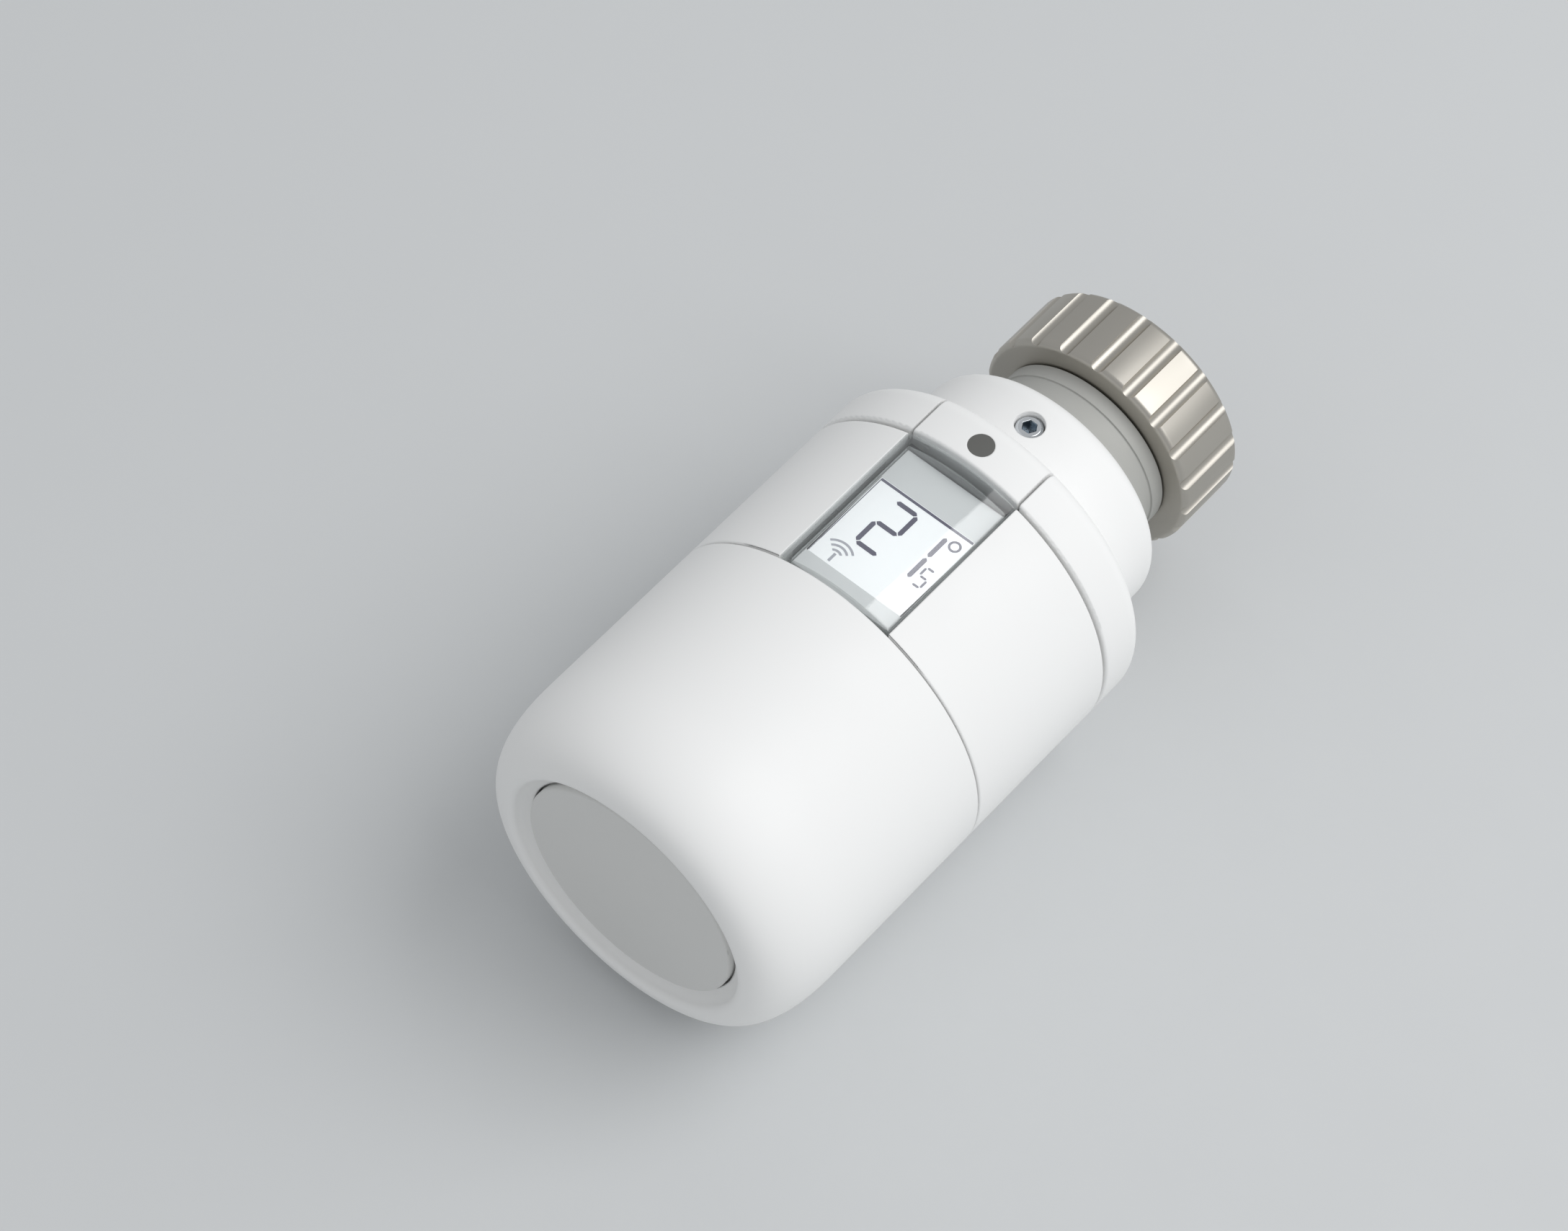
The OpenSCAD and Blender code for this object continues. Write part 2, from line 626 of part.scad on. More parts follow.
module temperature_sensor() color("#2B2B2D")
  box([pcb_x - 1.3, pcb_rear - 3.2, deck_z + pcb_t], [pcb_x - 0.3, pcb_rear - 1.6, deck_z + pcb_t + 0.6]);

module button_pcb() color("#2E7D4F")
  box([-5, switch_pcb_y, -5], [5, chassis_front, 5]);

module tact_switch() color("#3A3A3C") difference() {
  box([-tact_side / 2, tact_top + tact_nub, -tact_side / 2], [tact_side / 2, switch_pcb_y, tact_side / 2]);
  rod(1.5 + run_gap, tact_top - 1, tact_top + 1.3);
}

module tact_plunger() color("#C9C9C6") rod(1.5, tact_top, tact_top + 1);

// The frame of the head: front wall, saddles, rails and bulkhead
module chassis() color("#C9CBCC") difference() {
  union() {
    intersection() {
      rod(chassis_r, chassis_front, chassis_front + front_wall_t, [0, 0], round_fn);
      box([-head_r, chassis_front, -head_r], [head_r, bulkhead_rear, deck_z]);
    }
    intersection() {
      rod(cavity_r - 0.6, bulkhead_front, bulkhead_rear, [0, 0], round_fn);
      box([-head_r, chassis_front, -head_r], [head_r, bulkhead_rear, deck_z - 0.6]);
    }
    intersection() {
      ring(chassis_r, chassis_r - 1.6, chassis_front, bulkhead_rear);
      box([-head_r, chassis_front, -head_r], [head_r, bulkhead_rear, -9]);
    }
    intersection() {
      rod(chassis_r, chassis_front, bulkhead_rear, [0, 0], round_fn);
      for (y = [cell_front + 3, (cell_front + cell_rear) / 2, cell_rear - 6])
        box([-head_r, y, -head_r], [head_r, y + 3, -5]);
    }
    for (s = [-1, 1]) translate([s * (rail_in + rail_t / 2), 0, 0])
      box([-rail_t / 2, chassis_front, 6.2], [rail_t / 2, bulkhead_rear, deck_z]);
    for (s = [0, 1]) mirror([s, 0, 0])
      box([pcb_x - 3.2, pcb_front + 0.8, deck_z - 5], [rail_in + 0.4, pcb_front + 4, deck_z]);
  }
  turned() polygon([
    [chassis_r - 2.1, chassis_front - 0.1], [chassis_r + 1, chassis_front - 0.1],
    [chassis_r + 1, chassis_front + 3.7]
  ]);
  for (s = [-1, 1]) rod(cell_r + 0.15, chassis_front + front_wall_t, bulkhead_front, [s * cell_x, cell_z]);
  rod(motor_r + 0.2, chassis_front + front_wall_t, bulkhead_front, motor_at);
  rod(2, bulkhead_front - 1, bulkhead_rear + 1, motor_at);
  for (at = [first_at, second_at]) rod(pin_r, bulkhead_rear - 0.7, bulkhead_rear + 1, at);
  rod(hub_r + run_gap, bulkhead_rear - 0.6, bulkhead_rear + 1);
  for (at = post_at) rod(screw_r + run_gap, bulkhead_front - 1, bulkhead_rear + 1, at);
  for (x = [-1, 1]) translate([x * (pcb_x - 1.6), pcb_front + 2.4, deck_z - 3.6])
    cylinder(r = 0.8, h = 5, $fn = fine_fn);
}

module chassis_screws() color("#9EA1A4") for (at = post_at) {
  rod(screw_head_r, bulkhead_front - screw_head_t, bulkhead_front, at);
  rod(screw_r, bulkhead_front, web_front + 1.8, at);
}

// An AA cell; flip points its nub rearward
module cell(x, flip) {
  body0 = flip ? cell_front : cell_front + nub_len;
  rod(cell_r, body0, body0 + cell_len - nub_len, [x, cell_z], 96);
  rod(nub_r, flip ? body0 + cell_len - nub_len : cell_front, flip ? cell_rear : body0, [x, cell_z]);
}

module cell_left() color("#3C6E9E") cell(-cell_x, false);

module cell_right() color("#3C6E9E") cell(cell_x, true);

module front_contact() color("#C2C4C6")
  box([-13, cell_front - contact_t, cell_z - 4.5], [13, cell_front, cell_z + 4.5]);

// A sprung leaf behind one cell, with its foot on the bulkhead
module rear_contact(x) color("#C2C4C6") translate([x, 0, cell_z]) difference() {
  box([-4.5, cell_rear, -4.5], [4.5, bulkhead_front, 4.5]);
  box([-3.6, cell_rear + 0.35, -5], [3.6, bulkhead_front + 1, 5]);
}

module rear_contact_left() rear_contact(-cell_x);

module rear_contact_right() rear_contact(cell_x);

// The flat-sided can of the motor
module motor_can() color("#AEB1B3") difference() {
  intersection() {
    rod(motor_r, bulkhead_front - motor_len, bulkhead_front, motor_at);
    translate([motor_at[0], 0, motor_at[1]])
      box([-motor_r, bulkhead_front - motor_len, -motor_h / 2], [motor_r, bulkhead_front, motor_h / 2]);
  }
  rod(motor_shaft_r + run_gap, bulkhead_front - motor_len - 1, bulkhead_front + 1, motor_at);
}

module motor_end_cap() color("#2F3133") difference() {
  intersection() {
    rod(motor_r - 0.5, bulkhead_front - motor_len - motor_cap_t, bulkhead_front - motor_len, motor_at);
    translate([motor_at[0], 0, motor_at[1]]) box(
      [-motor_r, bulkhead_front - motor_len - motor_cap_t, -motor_h / 2 + 0.5],
      [motor_r, bulkhead_front - motor_len, motor_h / 2 - 0.5]
    );
  }
  rod(motor_shaft_r + run_gap, bulkhead_front - motor_len - 1, bulkhead_front, motor_at);
}

module motor_shaft() color("#C9CCCF")
  rod(motor_shaft_r, bulkhead_front - motor_len - 0.8, plane1 + plane_w + 0.2, motor_at);

module motor_pinion() color("#B08D4A") difference() {
  spur_gear(small_teeth, plane1, plane1 + plane_w, pinion_phase(), motor_at);
  rod(motor_shaft_r, plane1 - 1, plane1 + plane_w + 1, motor_at);
}

// The phases run from the pinion to the output gear; angles turn about +Y,
// so directions in the [x, z] plane are mirrored
function flat_dir(a, b) = atan2(-(b[1] - a[1]), b[0] - a[0]);

function pinion_phase() = 0;

function first_phase() =
  mesh_phase(flat_dir(motor_at, first_at), pinion_phase(), small_teeth, large_teeth);

function second_phase() =
  mesh_phase(flat_dir(first_at, second_at), first_phase(), small_teeth, large_teeth);

function output_phase() =
  mesh_phase(flat_dir(second_at, [0, 0]), second_phase(), small_teeth, output_teeth);

// A large gear and a small one moulded together
module transfer_gear(y_large, y_small, phase, at) difference() {
  union() {
    spur_gear(large_teeth, y_large, y_large + plane_w, phase, at);
    spur_gear(small_teeth, y_large + 0.1, y_small + plane_w, phase, at);
  }
  rod(pin_r + run_gap, y_large - 1, y_small + plane_w + 1, at);
}

module first_gear() color("#E8E2CF") transfer_gear(plane1, plane2, first_phase(), first_at);

module second_gear() color("#E8E2CF") transfer_gear(plane2, plane3, second_phase(), second_at);

module gear_pins() color("#C9CCCF") for (at = [first_at, second_at])
  rod(pin_r, bulkhead_rear - 0.7, plate_front + 1, at);

// The output gear, whose threaded hub drives the spindle
module output_gear() color("#D8C9A0") difference() {
  union() {
    rod(hub_r, bulkhead_rear - 0.5, plane3 + 0.1);
    spur_gear(output_teeth, plane3, plane3 + plane_w, output_phase(), [0, 0]);
    rod(journal_r, plane3 + 0.1, plate_front + 0.4);
  }
  rod(spindle_r + run_gap, bulkhead_rear - 2, plate_front + 2);
}

// The rear plate of the gear train, with its posts and the spindle guide
module gear_plate() color("#C9CBCC") difference() {
  union() {
    intersection() {
      rod(cavity_r - 0.6, plate_front, plate_front + plate_t, [0, 0], round_fn);
      box([-head_r, plate_front, -head_r], [head_r, plate_front + plate_t, deck_z - 1.5]);
    }
    for (at = post_at) rod(post_r, bulkhead_rear, plate_front + 0.1, at);
    rod(plunger_r + run_gap + guide_wall, plate_front + plate_t - 0.1, guide_rear);
  }
  for (at = post_at) rod(screw_r + run_gap, bulkhead_rear - 1, plate_front + plate_t + 1, at);
  for (at = [first_at, second_at]) rod(pin_r, plate_front - 1, plate_front + 1, at);
  rod(journal_r + run_gap, plate_front - 1, plate_front + 0.5);
  rod(plunger_r + run_gap, plate_front, guide_rear + 1);
}

// The spindle that pushes the valve pin
module spindle() color("#E2E3E3") {
  rod(spindle_r, bulkhead_rear + 0.2, plunger_front + 0.1);
  turned(fine_fn) difference() {
    translate([0, plunger_front]) square([plunger_r, tip_y - plunger_front]);
    corner_round([plunger_r, tip_y], 1, 1, 1);
  }
}

// The way of a wire in the [x, z] plane, outside the cells and over the rail to the board
wire_way = [[16.4, -9.5], [18.2, -2], [17.8, 5], [16.2, 11.5], [14.2, 16.4], [12.5, 18.4]];
// Its last bend, and its end on a pad of the board
wire_end = [[11.3, deck_z + pcb_t + 0.1], [10.3, deck_z + pcb_t + 0.58], [9.4, deck_z + pcb_t + 0.46]];

// The two wires from the side of the motor's cap to the board
module motor_wires() color("#C04030") for (s = [-1, 1]) {
  y = bulkhead_front - motor_len - motor_cap_t / 2 + 0.5 * s;
  bar([for (p = concat([[motor_r - 0.48, motor_at[1]], [9, -15.6], [13, -14]], wire_way, wire_end))
    [p[0], y, p[1]]], 0.4);
}

// One wire from each rear contact to the board
module battery_wires() color("#303235") for (s = [-1, 1]) {
  y = bulkhead_front - rear_contact_h / 2;
  bar(concat(
    [[s * (cell_x + 4.52), y, cell_z], [s * 15.6, y - 0.2, cell_z]],
    [for (k = [1:5]) [s * wire_way[k][0], y - 0.8 * k, wire_way[k][1]]],
    [for (p = wire_end) [s * p[0], y - 4.6, p[1]]]
  ), 0.4);
}

// The two wires from the button's board to the main board
module button_wires() color("#303235") for (s = [-1, 1]) translate([s, 0, 0])
  bar([
    [0, chassis_front + front_wall_t + 0.15, 12], [0, chassis_front + 6, 12.6],
    [0, pcb_front - 10, 14.5], [0, pcb_front - 3, 17.5], [0, pcb_front - 0.1, deck_z + pcb_t / 2]
  ], 0.4);

union_nut();
valve_adapter();
adapter_circlip();
rear_housing();
screw_bush();
set_screw();
release_tab();
tab_dot();
tab_pin();
tab_spring();
sleeve();
inner_drum();
dial_retaining_ring();
dial();
encoder_magnet_ring();
button_cap();
button_springs();
window_lens();
display_holder();
lcd_panel();
lcd_segments();
light_guide();
lcd_connector();
main_pcb();
pcb_screws();
mcu_chip();
radio_module();
dial_sensor();
temperature_sensor();
button_pcb();
tact_switch();
tact_plunger();
chassis();
chassis_screws();
cell_left();
cell_right();
front_contact();
rear_contact_left();
rear_contact_right();
motor_can();
motor_end_cap();
motor_shaft();
motor_pinion();
first_gear();
second_gear();
gear_pins();
output_gear();
gear_plate();
spindle();
motor_wires();
battery_wires();
button_wires();
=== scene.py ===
"""Looks of an electronic thermostatic radiator valve, built around its CAD frame.

The axis of the head is Y: +Y points into the valve, -Y at the push button, and +Z comes up through
the display window. Sizes in the code are millimetres unless they come from the frame.
"""

import json
import math

import bmesh
import bpy
from mathutils import Matrix, Vector

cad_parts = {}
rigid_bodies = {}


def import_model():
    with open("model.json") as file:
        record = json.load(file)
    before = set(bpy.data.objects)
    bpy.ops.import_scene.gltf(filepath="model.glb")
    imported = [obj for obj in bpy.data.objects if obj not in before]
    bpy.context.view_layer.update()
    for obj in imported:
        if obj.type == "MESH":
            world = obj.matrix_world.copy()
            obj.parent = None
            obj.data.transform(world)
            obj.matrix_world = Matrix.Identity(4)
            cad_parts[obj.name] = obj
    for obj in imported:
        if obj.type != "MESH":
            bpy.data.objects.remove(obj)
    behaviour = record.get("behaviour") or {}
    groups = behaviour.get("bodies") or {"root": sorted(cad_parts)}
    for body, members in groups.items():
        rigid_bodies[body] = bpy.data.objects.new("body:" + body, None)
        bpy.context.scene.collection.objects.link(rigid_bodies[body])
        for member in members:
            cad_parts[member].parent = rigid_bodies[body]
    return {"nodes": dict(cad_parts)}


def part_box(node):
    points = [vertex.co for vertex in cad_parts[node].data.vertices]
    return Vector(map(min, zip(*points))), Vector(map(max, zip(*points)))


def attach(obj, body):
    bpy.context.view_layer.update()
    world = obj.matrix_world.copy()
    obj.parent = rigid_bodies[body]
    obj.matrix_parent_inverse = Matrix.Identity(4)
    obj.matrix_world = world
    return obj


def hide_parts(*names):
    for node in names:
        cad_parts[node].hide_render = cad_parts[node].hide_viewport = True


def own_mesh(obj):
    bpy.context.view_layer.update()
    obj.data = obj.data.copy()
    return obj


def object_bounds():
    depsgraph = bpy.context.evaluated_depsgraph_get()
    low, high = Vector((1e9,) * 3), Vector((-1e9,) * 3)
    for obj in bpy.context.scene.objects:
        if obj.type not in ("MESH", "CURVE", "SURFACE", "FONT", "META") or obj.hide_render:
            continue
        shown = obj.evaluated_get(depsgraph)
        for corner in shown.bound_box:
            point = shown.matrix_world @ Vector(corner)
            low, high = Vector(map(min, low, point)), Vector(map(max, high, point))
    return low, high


bl_info = {
    "name": "Radiator valve looks", "version": (1, 0, 0), "blender": (4, 5, 0),
    "location": "View3D > Sidebar > Valve",
    "description": "Builds the visible pieces of an electronic thermostatic radiator valve",
    "category": "Object",
}

MM = 0.001
# Points nearer to each other than this, in metres, become one
SAME = 1e-6
# Width in millimetres of the broad, faint changes in a surface's colour and gloss
BROAD = 14
# Lays what stands along +Z down along -Y, from the valve to the push button
LYING = Matrix.Rotation(math.pi / 2, 4, "X")
# The real material of each of the record's slots
MATERIALS = {
    "white_housing": "textured_abs", "button_plastic": "satin_abs", "drum_plastic": "moulded_polypropylene",
    "clear_lens": "clear_polycarbonate", "holder_plastic": "milky_polycarbonate",
    "lcd_glass": "polarised_glass", "lcd_ink": "liquid_crystal", "light_guide": "polished_acrylic",
    "zebra_rubber": "striped_silicone", "circuit_board": "masked_glass_epoxy",
    "chip_plastic": "moulded_epoxy", "shield_can": "tinned_steel", "marker_ink": "printed_inlay",
    "adapter_metal": "blasted_zinc", "nickel": "nickel_plated_brass", "chrome_screw": "chromed_steel",
    "brass": "turned_brass", "spring_steel": "drawn_spring_steel", "steel": "ground_steel",
    "chassis_plastic": "filled_nylon", "cell_wrap": "shrink_film", "contact_metal": "nickel_plated_leaf",
    "motor_steel": "drawn_zinc_plated_steel", "black_plastic": "black_nylon",
    "gear_plastic": "natural_acetal", "output_plastic": "tan_acetal", "spindle_plastic": "white_acetal",
    "magnet": "bonded_ferrite", "red_wire": "red_silicone", "black_wire": "black_silicone",
}
for left_over in list(bpy.data.objects):
    bpy.data.objects.remove(left_over)
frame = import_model()
CAD_BOX = [list(corner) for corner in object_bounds()]


# ---------------------------------------------------------------- colours and nodes


def linear(code):
    """The linear RGBA of an sRGB colour such as "#F4F4F2"."""
    parts = [int(code[i : i + 2], 16) / 255 for i in (1, 3, 5)]
    return tuple(c / 12.92 if c < 0.04045 else ((c + 0.055) / 1.055) ** 2.4 for c in parts) + (1,)


def per_mm(size):
    """The scale of a pattern whose features are size millimetres wide."""
    return 1 / (size * MM)


def put(tree, kind, settings=None, links=None):
    """Adds one node to a tree, with its settings (attributes or socket values) and its links."""
    node = tree.nodes.new(kind)
    for key, value in (settings or {}).items():
        if isinstance(key, int) or key in node.inputs:
            node.inputs[key].default_value = value
        else:
            setattr(node, key, value)
    for key, source in (links or {}).items():
        tree.links.new(source, node.inputs[key])
    return node


def blank(slot):
    """Starts a slot's material: its tree, and the output of its Object coordinates."""
    finish = bpy.data.materials.new(MATERIALS.get(slot, slot))
    plain = bpy.data.materials.get(slot)
    if slot in MATERIALS and plain:
        # The frame's own flat colour of this slot gives way to the finish wherever it is used
        plain.user_remap(finish)
        bpy.data.materials.remove(plain)
    finish.use_nodes = True
    finish.node_tree.nodes.clear()
    place = put(finish.node_tree, "ShaderNodeTexCoord")
    return finish.node_tree, place.outputs["Object"]


def finish_of(slot):
    """The material that a slot's pieces wear."""
    return bpy.data.materials[MATERIALS.get(slot, slot)]


def close_up(tree, skin):
    """Ends a material's tree with its surface."""
    put(tree, "ShaderNodeOutputMaterial", None, {"Surface": skin.outputs[0]})


def ink(value):
    """A colour property's value with its alpha."""
    return (value[0], value[1], value[2], 1)


def grained(slot, colour, rough, grain, depth, shade, metal=0, drag=None, corner=0, **skin_settings):
    """A surface with a fine grain in its height, and broad, faint changes in its colour and gloss.

    grain, depth and corner are millimetres. drag stretches the grain, for metal that was brushed or
    turned. corner softens the light on edges whose rounding is too tight for the mesh.
    """
    tree, where = blank(slot)
    if drag:
        where = put(tree, "ShaderNodeMapping", {"Scale": drag}, {"Vector": where}).outputs["Vector"]
    fine = put(
        tree, "ShaderNodeTexNoise", {"Scale": per_mm(grain), "Detail": 3.0, "Roughness": 0.6},
        {"Vector": where},
    )
    broad = put(tree, "ShaderNodeTexNoise", {"Scale": per_mm(BROAD), "Detail": 2.0}, {"Vector": where})
    height = put(
        tree, "ShaderNodeBump", {"Strength": 0.6, "Distance": depth * MM}, {"Height": fine.outputs["Fac"]},
    )
    if corner:
        edge = put(tree, "ShaderNodeBevel", {"samples": 6, "Radius": corner * MM})
        tree.links.new(edge.outputs["Normal"], height.inputs["Normal"])
    gloss = put(
        tree, "ShaderNodeMapRange",
        {"From Min": 0.3, "From Max": 0.7, "To Min": rough * 0.88, "To Max": min(1, rough * 1.12)},
        {"Value": broad.outputs["Fac"]},
    )
    tint = put(
        tree, "ShaderNodeMix",
        {"data_type": "RGBA", 6: colour, 7: tuple(c * (1 - shade) for c in colour[:3]) + (1,)},
        {0: broad.outputs["Fac"]},
    )
    skin = put(
        tree, "ShaderNodeBsdfPrincipled", {"Metallic": metal, **skin_settings},
        {
            "Base Color": tint.outputs[2], "Roughness": gloss.outputs["Result"],
            "Normal": height.outputs["Normal"],
        },
    )
    close_up(tree, skin)


def striped(slot, colour, other, pitch, axis, rough):
    """Equal bands of two colours across an axis, pitch millimetres apart."""
    tree, where = blank(slot)
    along = put(tree, "ShaderNodeSeparateXYZ", None, {"Vector": where})
    turns = put(
        tree, "ShaderNodeMath", {"operation": "MULTIPLY", 1: per_mm(pitch)}, {0: along.outputs[axis]}
    )
    part = put(tree, "ShaderNodeMath", {"operation": "FRACT"}, {0: turns.outputs[0]})
    band = put(tree, "ShaderNodeMath", {"operation": "LESS_THAN", 1: 0.5}, {0: part.outputs[0]})
    tint = put(tree, "ShaderNodeMix", {"data_type": "RGBA", 6: colour, 7: other}, {0: band.outputs[0]})
    height = put(
        tree, "ShaderNodeBump", {"Strength": 0.5, "Distance": 0.03 * MM}, {"Height": band.outputs[0]},
    )
    skin = put(
        tree, "ShaderNodeBsdfPrincipled", {"Roughness": rough},
        {"Base Color": tint.outputs[2], "Normal": height.outputs["Normal"]},
    )
    close_up(tree, skin)


def lens_material(slot, colour, grazed):
    """Clear polished polycarbonate: seen straight through face on, bright and milky on edge."""
    tree, where = blank(slot)
    ripple = put(tree, "ShaderNodeTexNoise", {"Scale": per_mm(6), "Detail": 1.0}, {"Vector": where})
    height = put(
        tree, "ShaderNodeBump", {"Strength": 0.3, "Distance": 0.05 * MM}, {"Height": ripple.outputs["Fac"]},
    )
    tilt = put(tree, "ShaderNodeLayerWeight", {"Blend": 0.5})
    steep = put(tree, "ShaderNodeMath", {"operation": "POWER", 1: 2.5}, {0: tilt.outputs["Facing"]})
    share = put(
        tree, "ShaderNodeMath", {"operation": "MULTIPLY_ADD", 1: 0.5, 2: 0.06}, {0: steep.outputs[0]},
    )
    through = put(tree, "ShaderNodeBsdfTransparent", {"Color": colour})
    veil = put(tree, "ShaderNodeBsdfDiffuse", {"Color": grazed})
    mirror = put(tree, "ShaderNodeBsdfGlossy", {"Roughness": 0.04}, {"Normal": height.outputs["Normal"]})
    body = put(
        tree, "ShaderNodeMixShader", None, {0: steep.outputs[0], 1: through.outputs[0], 2: veil.outputs[0]},
    )
    skin = put(
        tree, "ShaderNodeMixShader", None, {0: share.outputs[0], 1: body.outputs[0], 2: mirror.outputs[0]},
    )
    close_up(tree, skin)


def spotted(slot, colour, other, centre, reach, rough, metal=0):
    """A clouded colour that changes to another one within reach of a centre."""
    tree, where = blank(slot)
    away = put(tree, "ShaderNodeVectorMath", {"operation": "DISTANCE", 1: centre}, {0: where})
    near = put(tree, "ShaderNodeMath", {"operation": "LESS_THAN", 1: reach}, {0: away.outputs["Value"]})
    cloud = put(tree, "ShaderNodeTexNoise", {"Scale": per_mm(2.5), "Detail": 1.0}, {"Vector": where})
    own = put(
        tree, "ShaderNodeMix",
        {"data_type": "RGBA", 6: colour, 7: tuple(c * 1.25 for c in colour[:3]) + (1,)},
        {0: cloud.outputs["Fac"]},
    )
    tint = put(
        tree, "ShaderNodeMix", {"data_type": "RGBA", 7: other}, {0: near.outputs[0], 6: own.outputs[2]},
    )
    skin = put(
        tree, "ShaderNodeBsdfPrincipled", {"Roughness": rough, "Metallic": metal},
        {"Base Color": tint.outputs[2]},
    )
    close_up(tree, skin)


def board_material(slot, colour, copper):
    """Solder-masked glass epoxy: tracks show as paler, slightly raised lines under the mask."""
    tree, where = blank(slot)
    # Cells 1.3 mm wide stand for the routing between pads, drawn wider than real tracks to show
    cells = put(
        tree, "ShaderNodeTexVoronoi",
        {"feature": "DISTANCE_TO_EDGE", "distance": "EUCLIDEAN", "Scale": per_mm(1.3)}, {"Vector": where},
    )
    track = put(tree, "ShaderNodeMath", {"operation": "LESS_THAN", 1: 0.07}, {0: cells.outputs["Distance"]})
    tint = put(tree, "ShaderNodeMix", {"data_type": "RGBA", 6: colour, 7: copper}, {0: track.outputs[0]})
    height = put(
        tree, "ShaderNodeBump", {"Strength": 0.5, "Distance": 0.03 * MM}, {"Height": track.outputs[0]},
    )
    skin = put(
        tree, "ShaderNodeBsdfPrincipled", {"Roughness": 0.32, "Coat Weight": 0.3, "Coat Roughness": 0.2},
        {"Base Color": tint.outputs[2], "Normal": height.outputs["Normal"]},
    )
    close_up(tree, skin)


# ---------------------------------------------------------------- meshes


def corners(node):
    """The low and the high corner of a CAD node's box, in millimetres."""
    return [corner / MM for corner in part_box(node)]


def put_in(name, data):
    """A new object in the scene."""
    thing = bpy.data.objects.new(name, data)
    bpy.context.scene.collection.objects.link(thing)
    return thing


def finished(holder):
    """The plain mesh of an object with its modifiers applied; the object itself goes."""
    graph = bpy.context.evaluated_depsgraph_get()
    mesh = bpy.data.meshes.new_from_object(holder.evaluated_get(graph), depsgraph=graph)
    bpy.data.objects.remove(holder)
    return mesh


def soft_copy(node, width=0.15):
    """A closed copy of a CAD node whose sharp edges are rounded to width millimetres."""
    weld, crease, flat = 0.002 * MM, math.radians(35), math.radians(0.6)
    mesh = frame["nodes"][node].data.copy()
    work = bmesh.new()
    work.from_mesh(mesh)
    bmesh.ops.remove_doubles(work, verts=work.verts, dist=weld)
    bmesh.ops.dissolve_degenerate(work, edges=work.edges, dist=weld)
    bmesh.ops.dissolve_limit(work, angle_limit=flat, verts=work.verts, edges=work.edges)
    for face in work.faces:
        face.smooth = True
    work.to_mesh(mesh)
    work.free()
    if "custom_normal" in mesh.attributes:
        mesh.attributes.remove(mesh.attributes["custom_normal"])
    holder = put_in(node + "_soft", mesh)
    edge = holder.modifiers.new("edge", "BEVEL")
    edge.width = width * MM
    edge.segments = 2
    edge.limit_method = "ANGLE"
    edge.angle_limit = crease
    edge.miter_outer = "MITER_ARC"
    edge.harden_normals = True
    # Faces that run around an opening are split here, so that none of them covers it
    split = holder.modifiers.new("split", "TRIANGULATE")
    split.min_vertices = 5
    split.keep_custom_normals = True
    return finished(holder)


def moved(mesh, test, change):
    """Moves each vertex that passes a test, in millimetres, and returns the mesh."""
    for corner in mesh.vertices:
        place = corner.co / MM
        if test(place):
            corner.co = change(place) * MM
    mesh.update()
    return mesh


def outline(points):
    """A closed line of points given as (radius, y) in millimetres, in the X = radius plane."""
    mesh = bpy.data.meshes.new("outline")
    places = [(r * MM, y * MM, 0) for r, y in points]
    edges = [(i, (i + 1) % len(places)) for i in range(len(places))]
    mesh.from_pydata(places, edges, [])
    return mesh


def spots(places):
    """A mesh of loose points, given in millimetres."""
    mesh = bpy.data.meshes.new("spots")
    mesh.from_pydata([Vector(p) * MM for p in places], [], [])
    return mesh


def arc(centre, radius, start, end, steps):
    """Points of an arc in the (radius, y) plane; angles are degrees."""
    found = []
    for k in range(steps + 1):
        a = math.radians(start + (end - start) * k / steps)
        found.append((centre[0] + radius * math.cos(a), centre[1] + radius * math.sin(a)))
    return found


def bend(a, corner, b):
    """Points of a smooth bend from a to b that turns at a corner."""
    found = []
    for k in range(9):
        t = k / 8
        shares = ((1 - t) ** 2, 2 * t * (1 - t), t * t)
        found.append(tuple(sum(w * p[i] for w, p in zip(shares, (a, corner, b))) for i in (0, 1)))
    return found


def stand(name, mesh, body, slot, *nodes):
    """Makes a finished mesh one piece of the valve, in place of the CAD nodes that it stands for."""
    mesh.name = name
    piece = put_in(name, mesh)
    mesh.materials.clear()
    mesh.materials.append(finish_of(slot))
    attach(piece, body)
    if nodes:
        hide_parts(*nodes)
    return piece


def soften(node, body, slot, width=0.15):
    """Replaces a CAD node with a copy of it that has rounded edges."""
    return stand("vis_" + node, soft_copy(node, width), body, slot, node)


def joined(*meshes):
    """One mesh made of several."""
    work = bmesh.new()
    for mesh in meshes:
        work.from_mesh(mesh)
    result = bpy.data.meshes.new("joined")
    work.to_mesh(result)
    work.free()
    return result


def keep(node, slot):
    """Gives a CAD node whose shape is right its finish."""
    mesh = frame["nodes"][node].data
    mesh.materials.clear()
    mesh.materials.append(finish_of(slot))


# ---------------------------------------------------------------- geometry node trees


def new_tree(name, inputs):
    """A geometry tree with inputs, given as {name: default}, and the outputs of its input node."""
    kinds = {int: "Int", float: "Float", tuple: "Vector"}
    tree = bpy.data.node_groups.new(name, "GeometryNodeTree")
    tree.interface.new_socket("Geometry", in_out="INPUT", socket_type="NodeSocketGeometry")
    tree.interface.new_socket("Geometry", in_out="OUTPUT", socket_type="NodeSocketGeometry")
    for label, default in inputs.items():
        kind = "NodeSocket" + kinds[type(default)]
        tree.interface.new_socket(label, in_out="INPUT", socket_type=kind).default_value = default
    tree.interface.new_socket("Material", in_out="INPUT", socket_type="NodeSocketMaterial")
    return tree, tree.nodes.new("NodeGroupInput").outputs


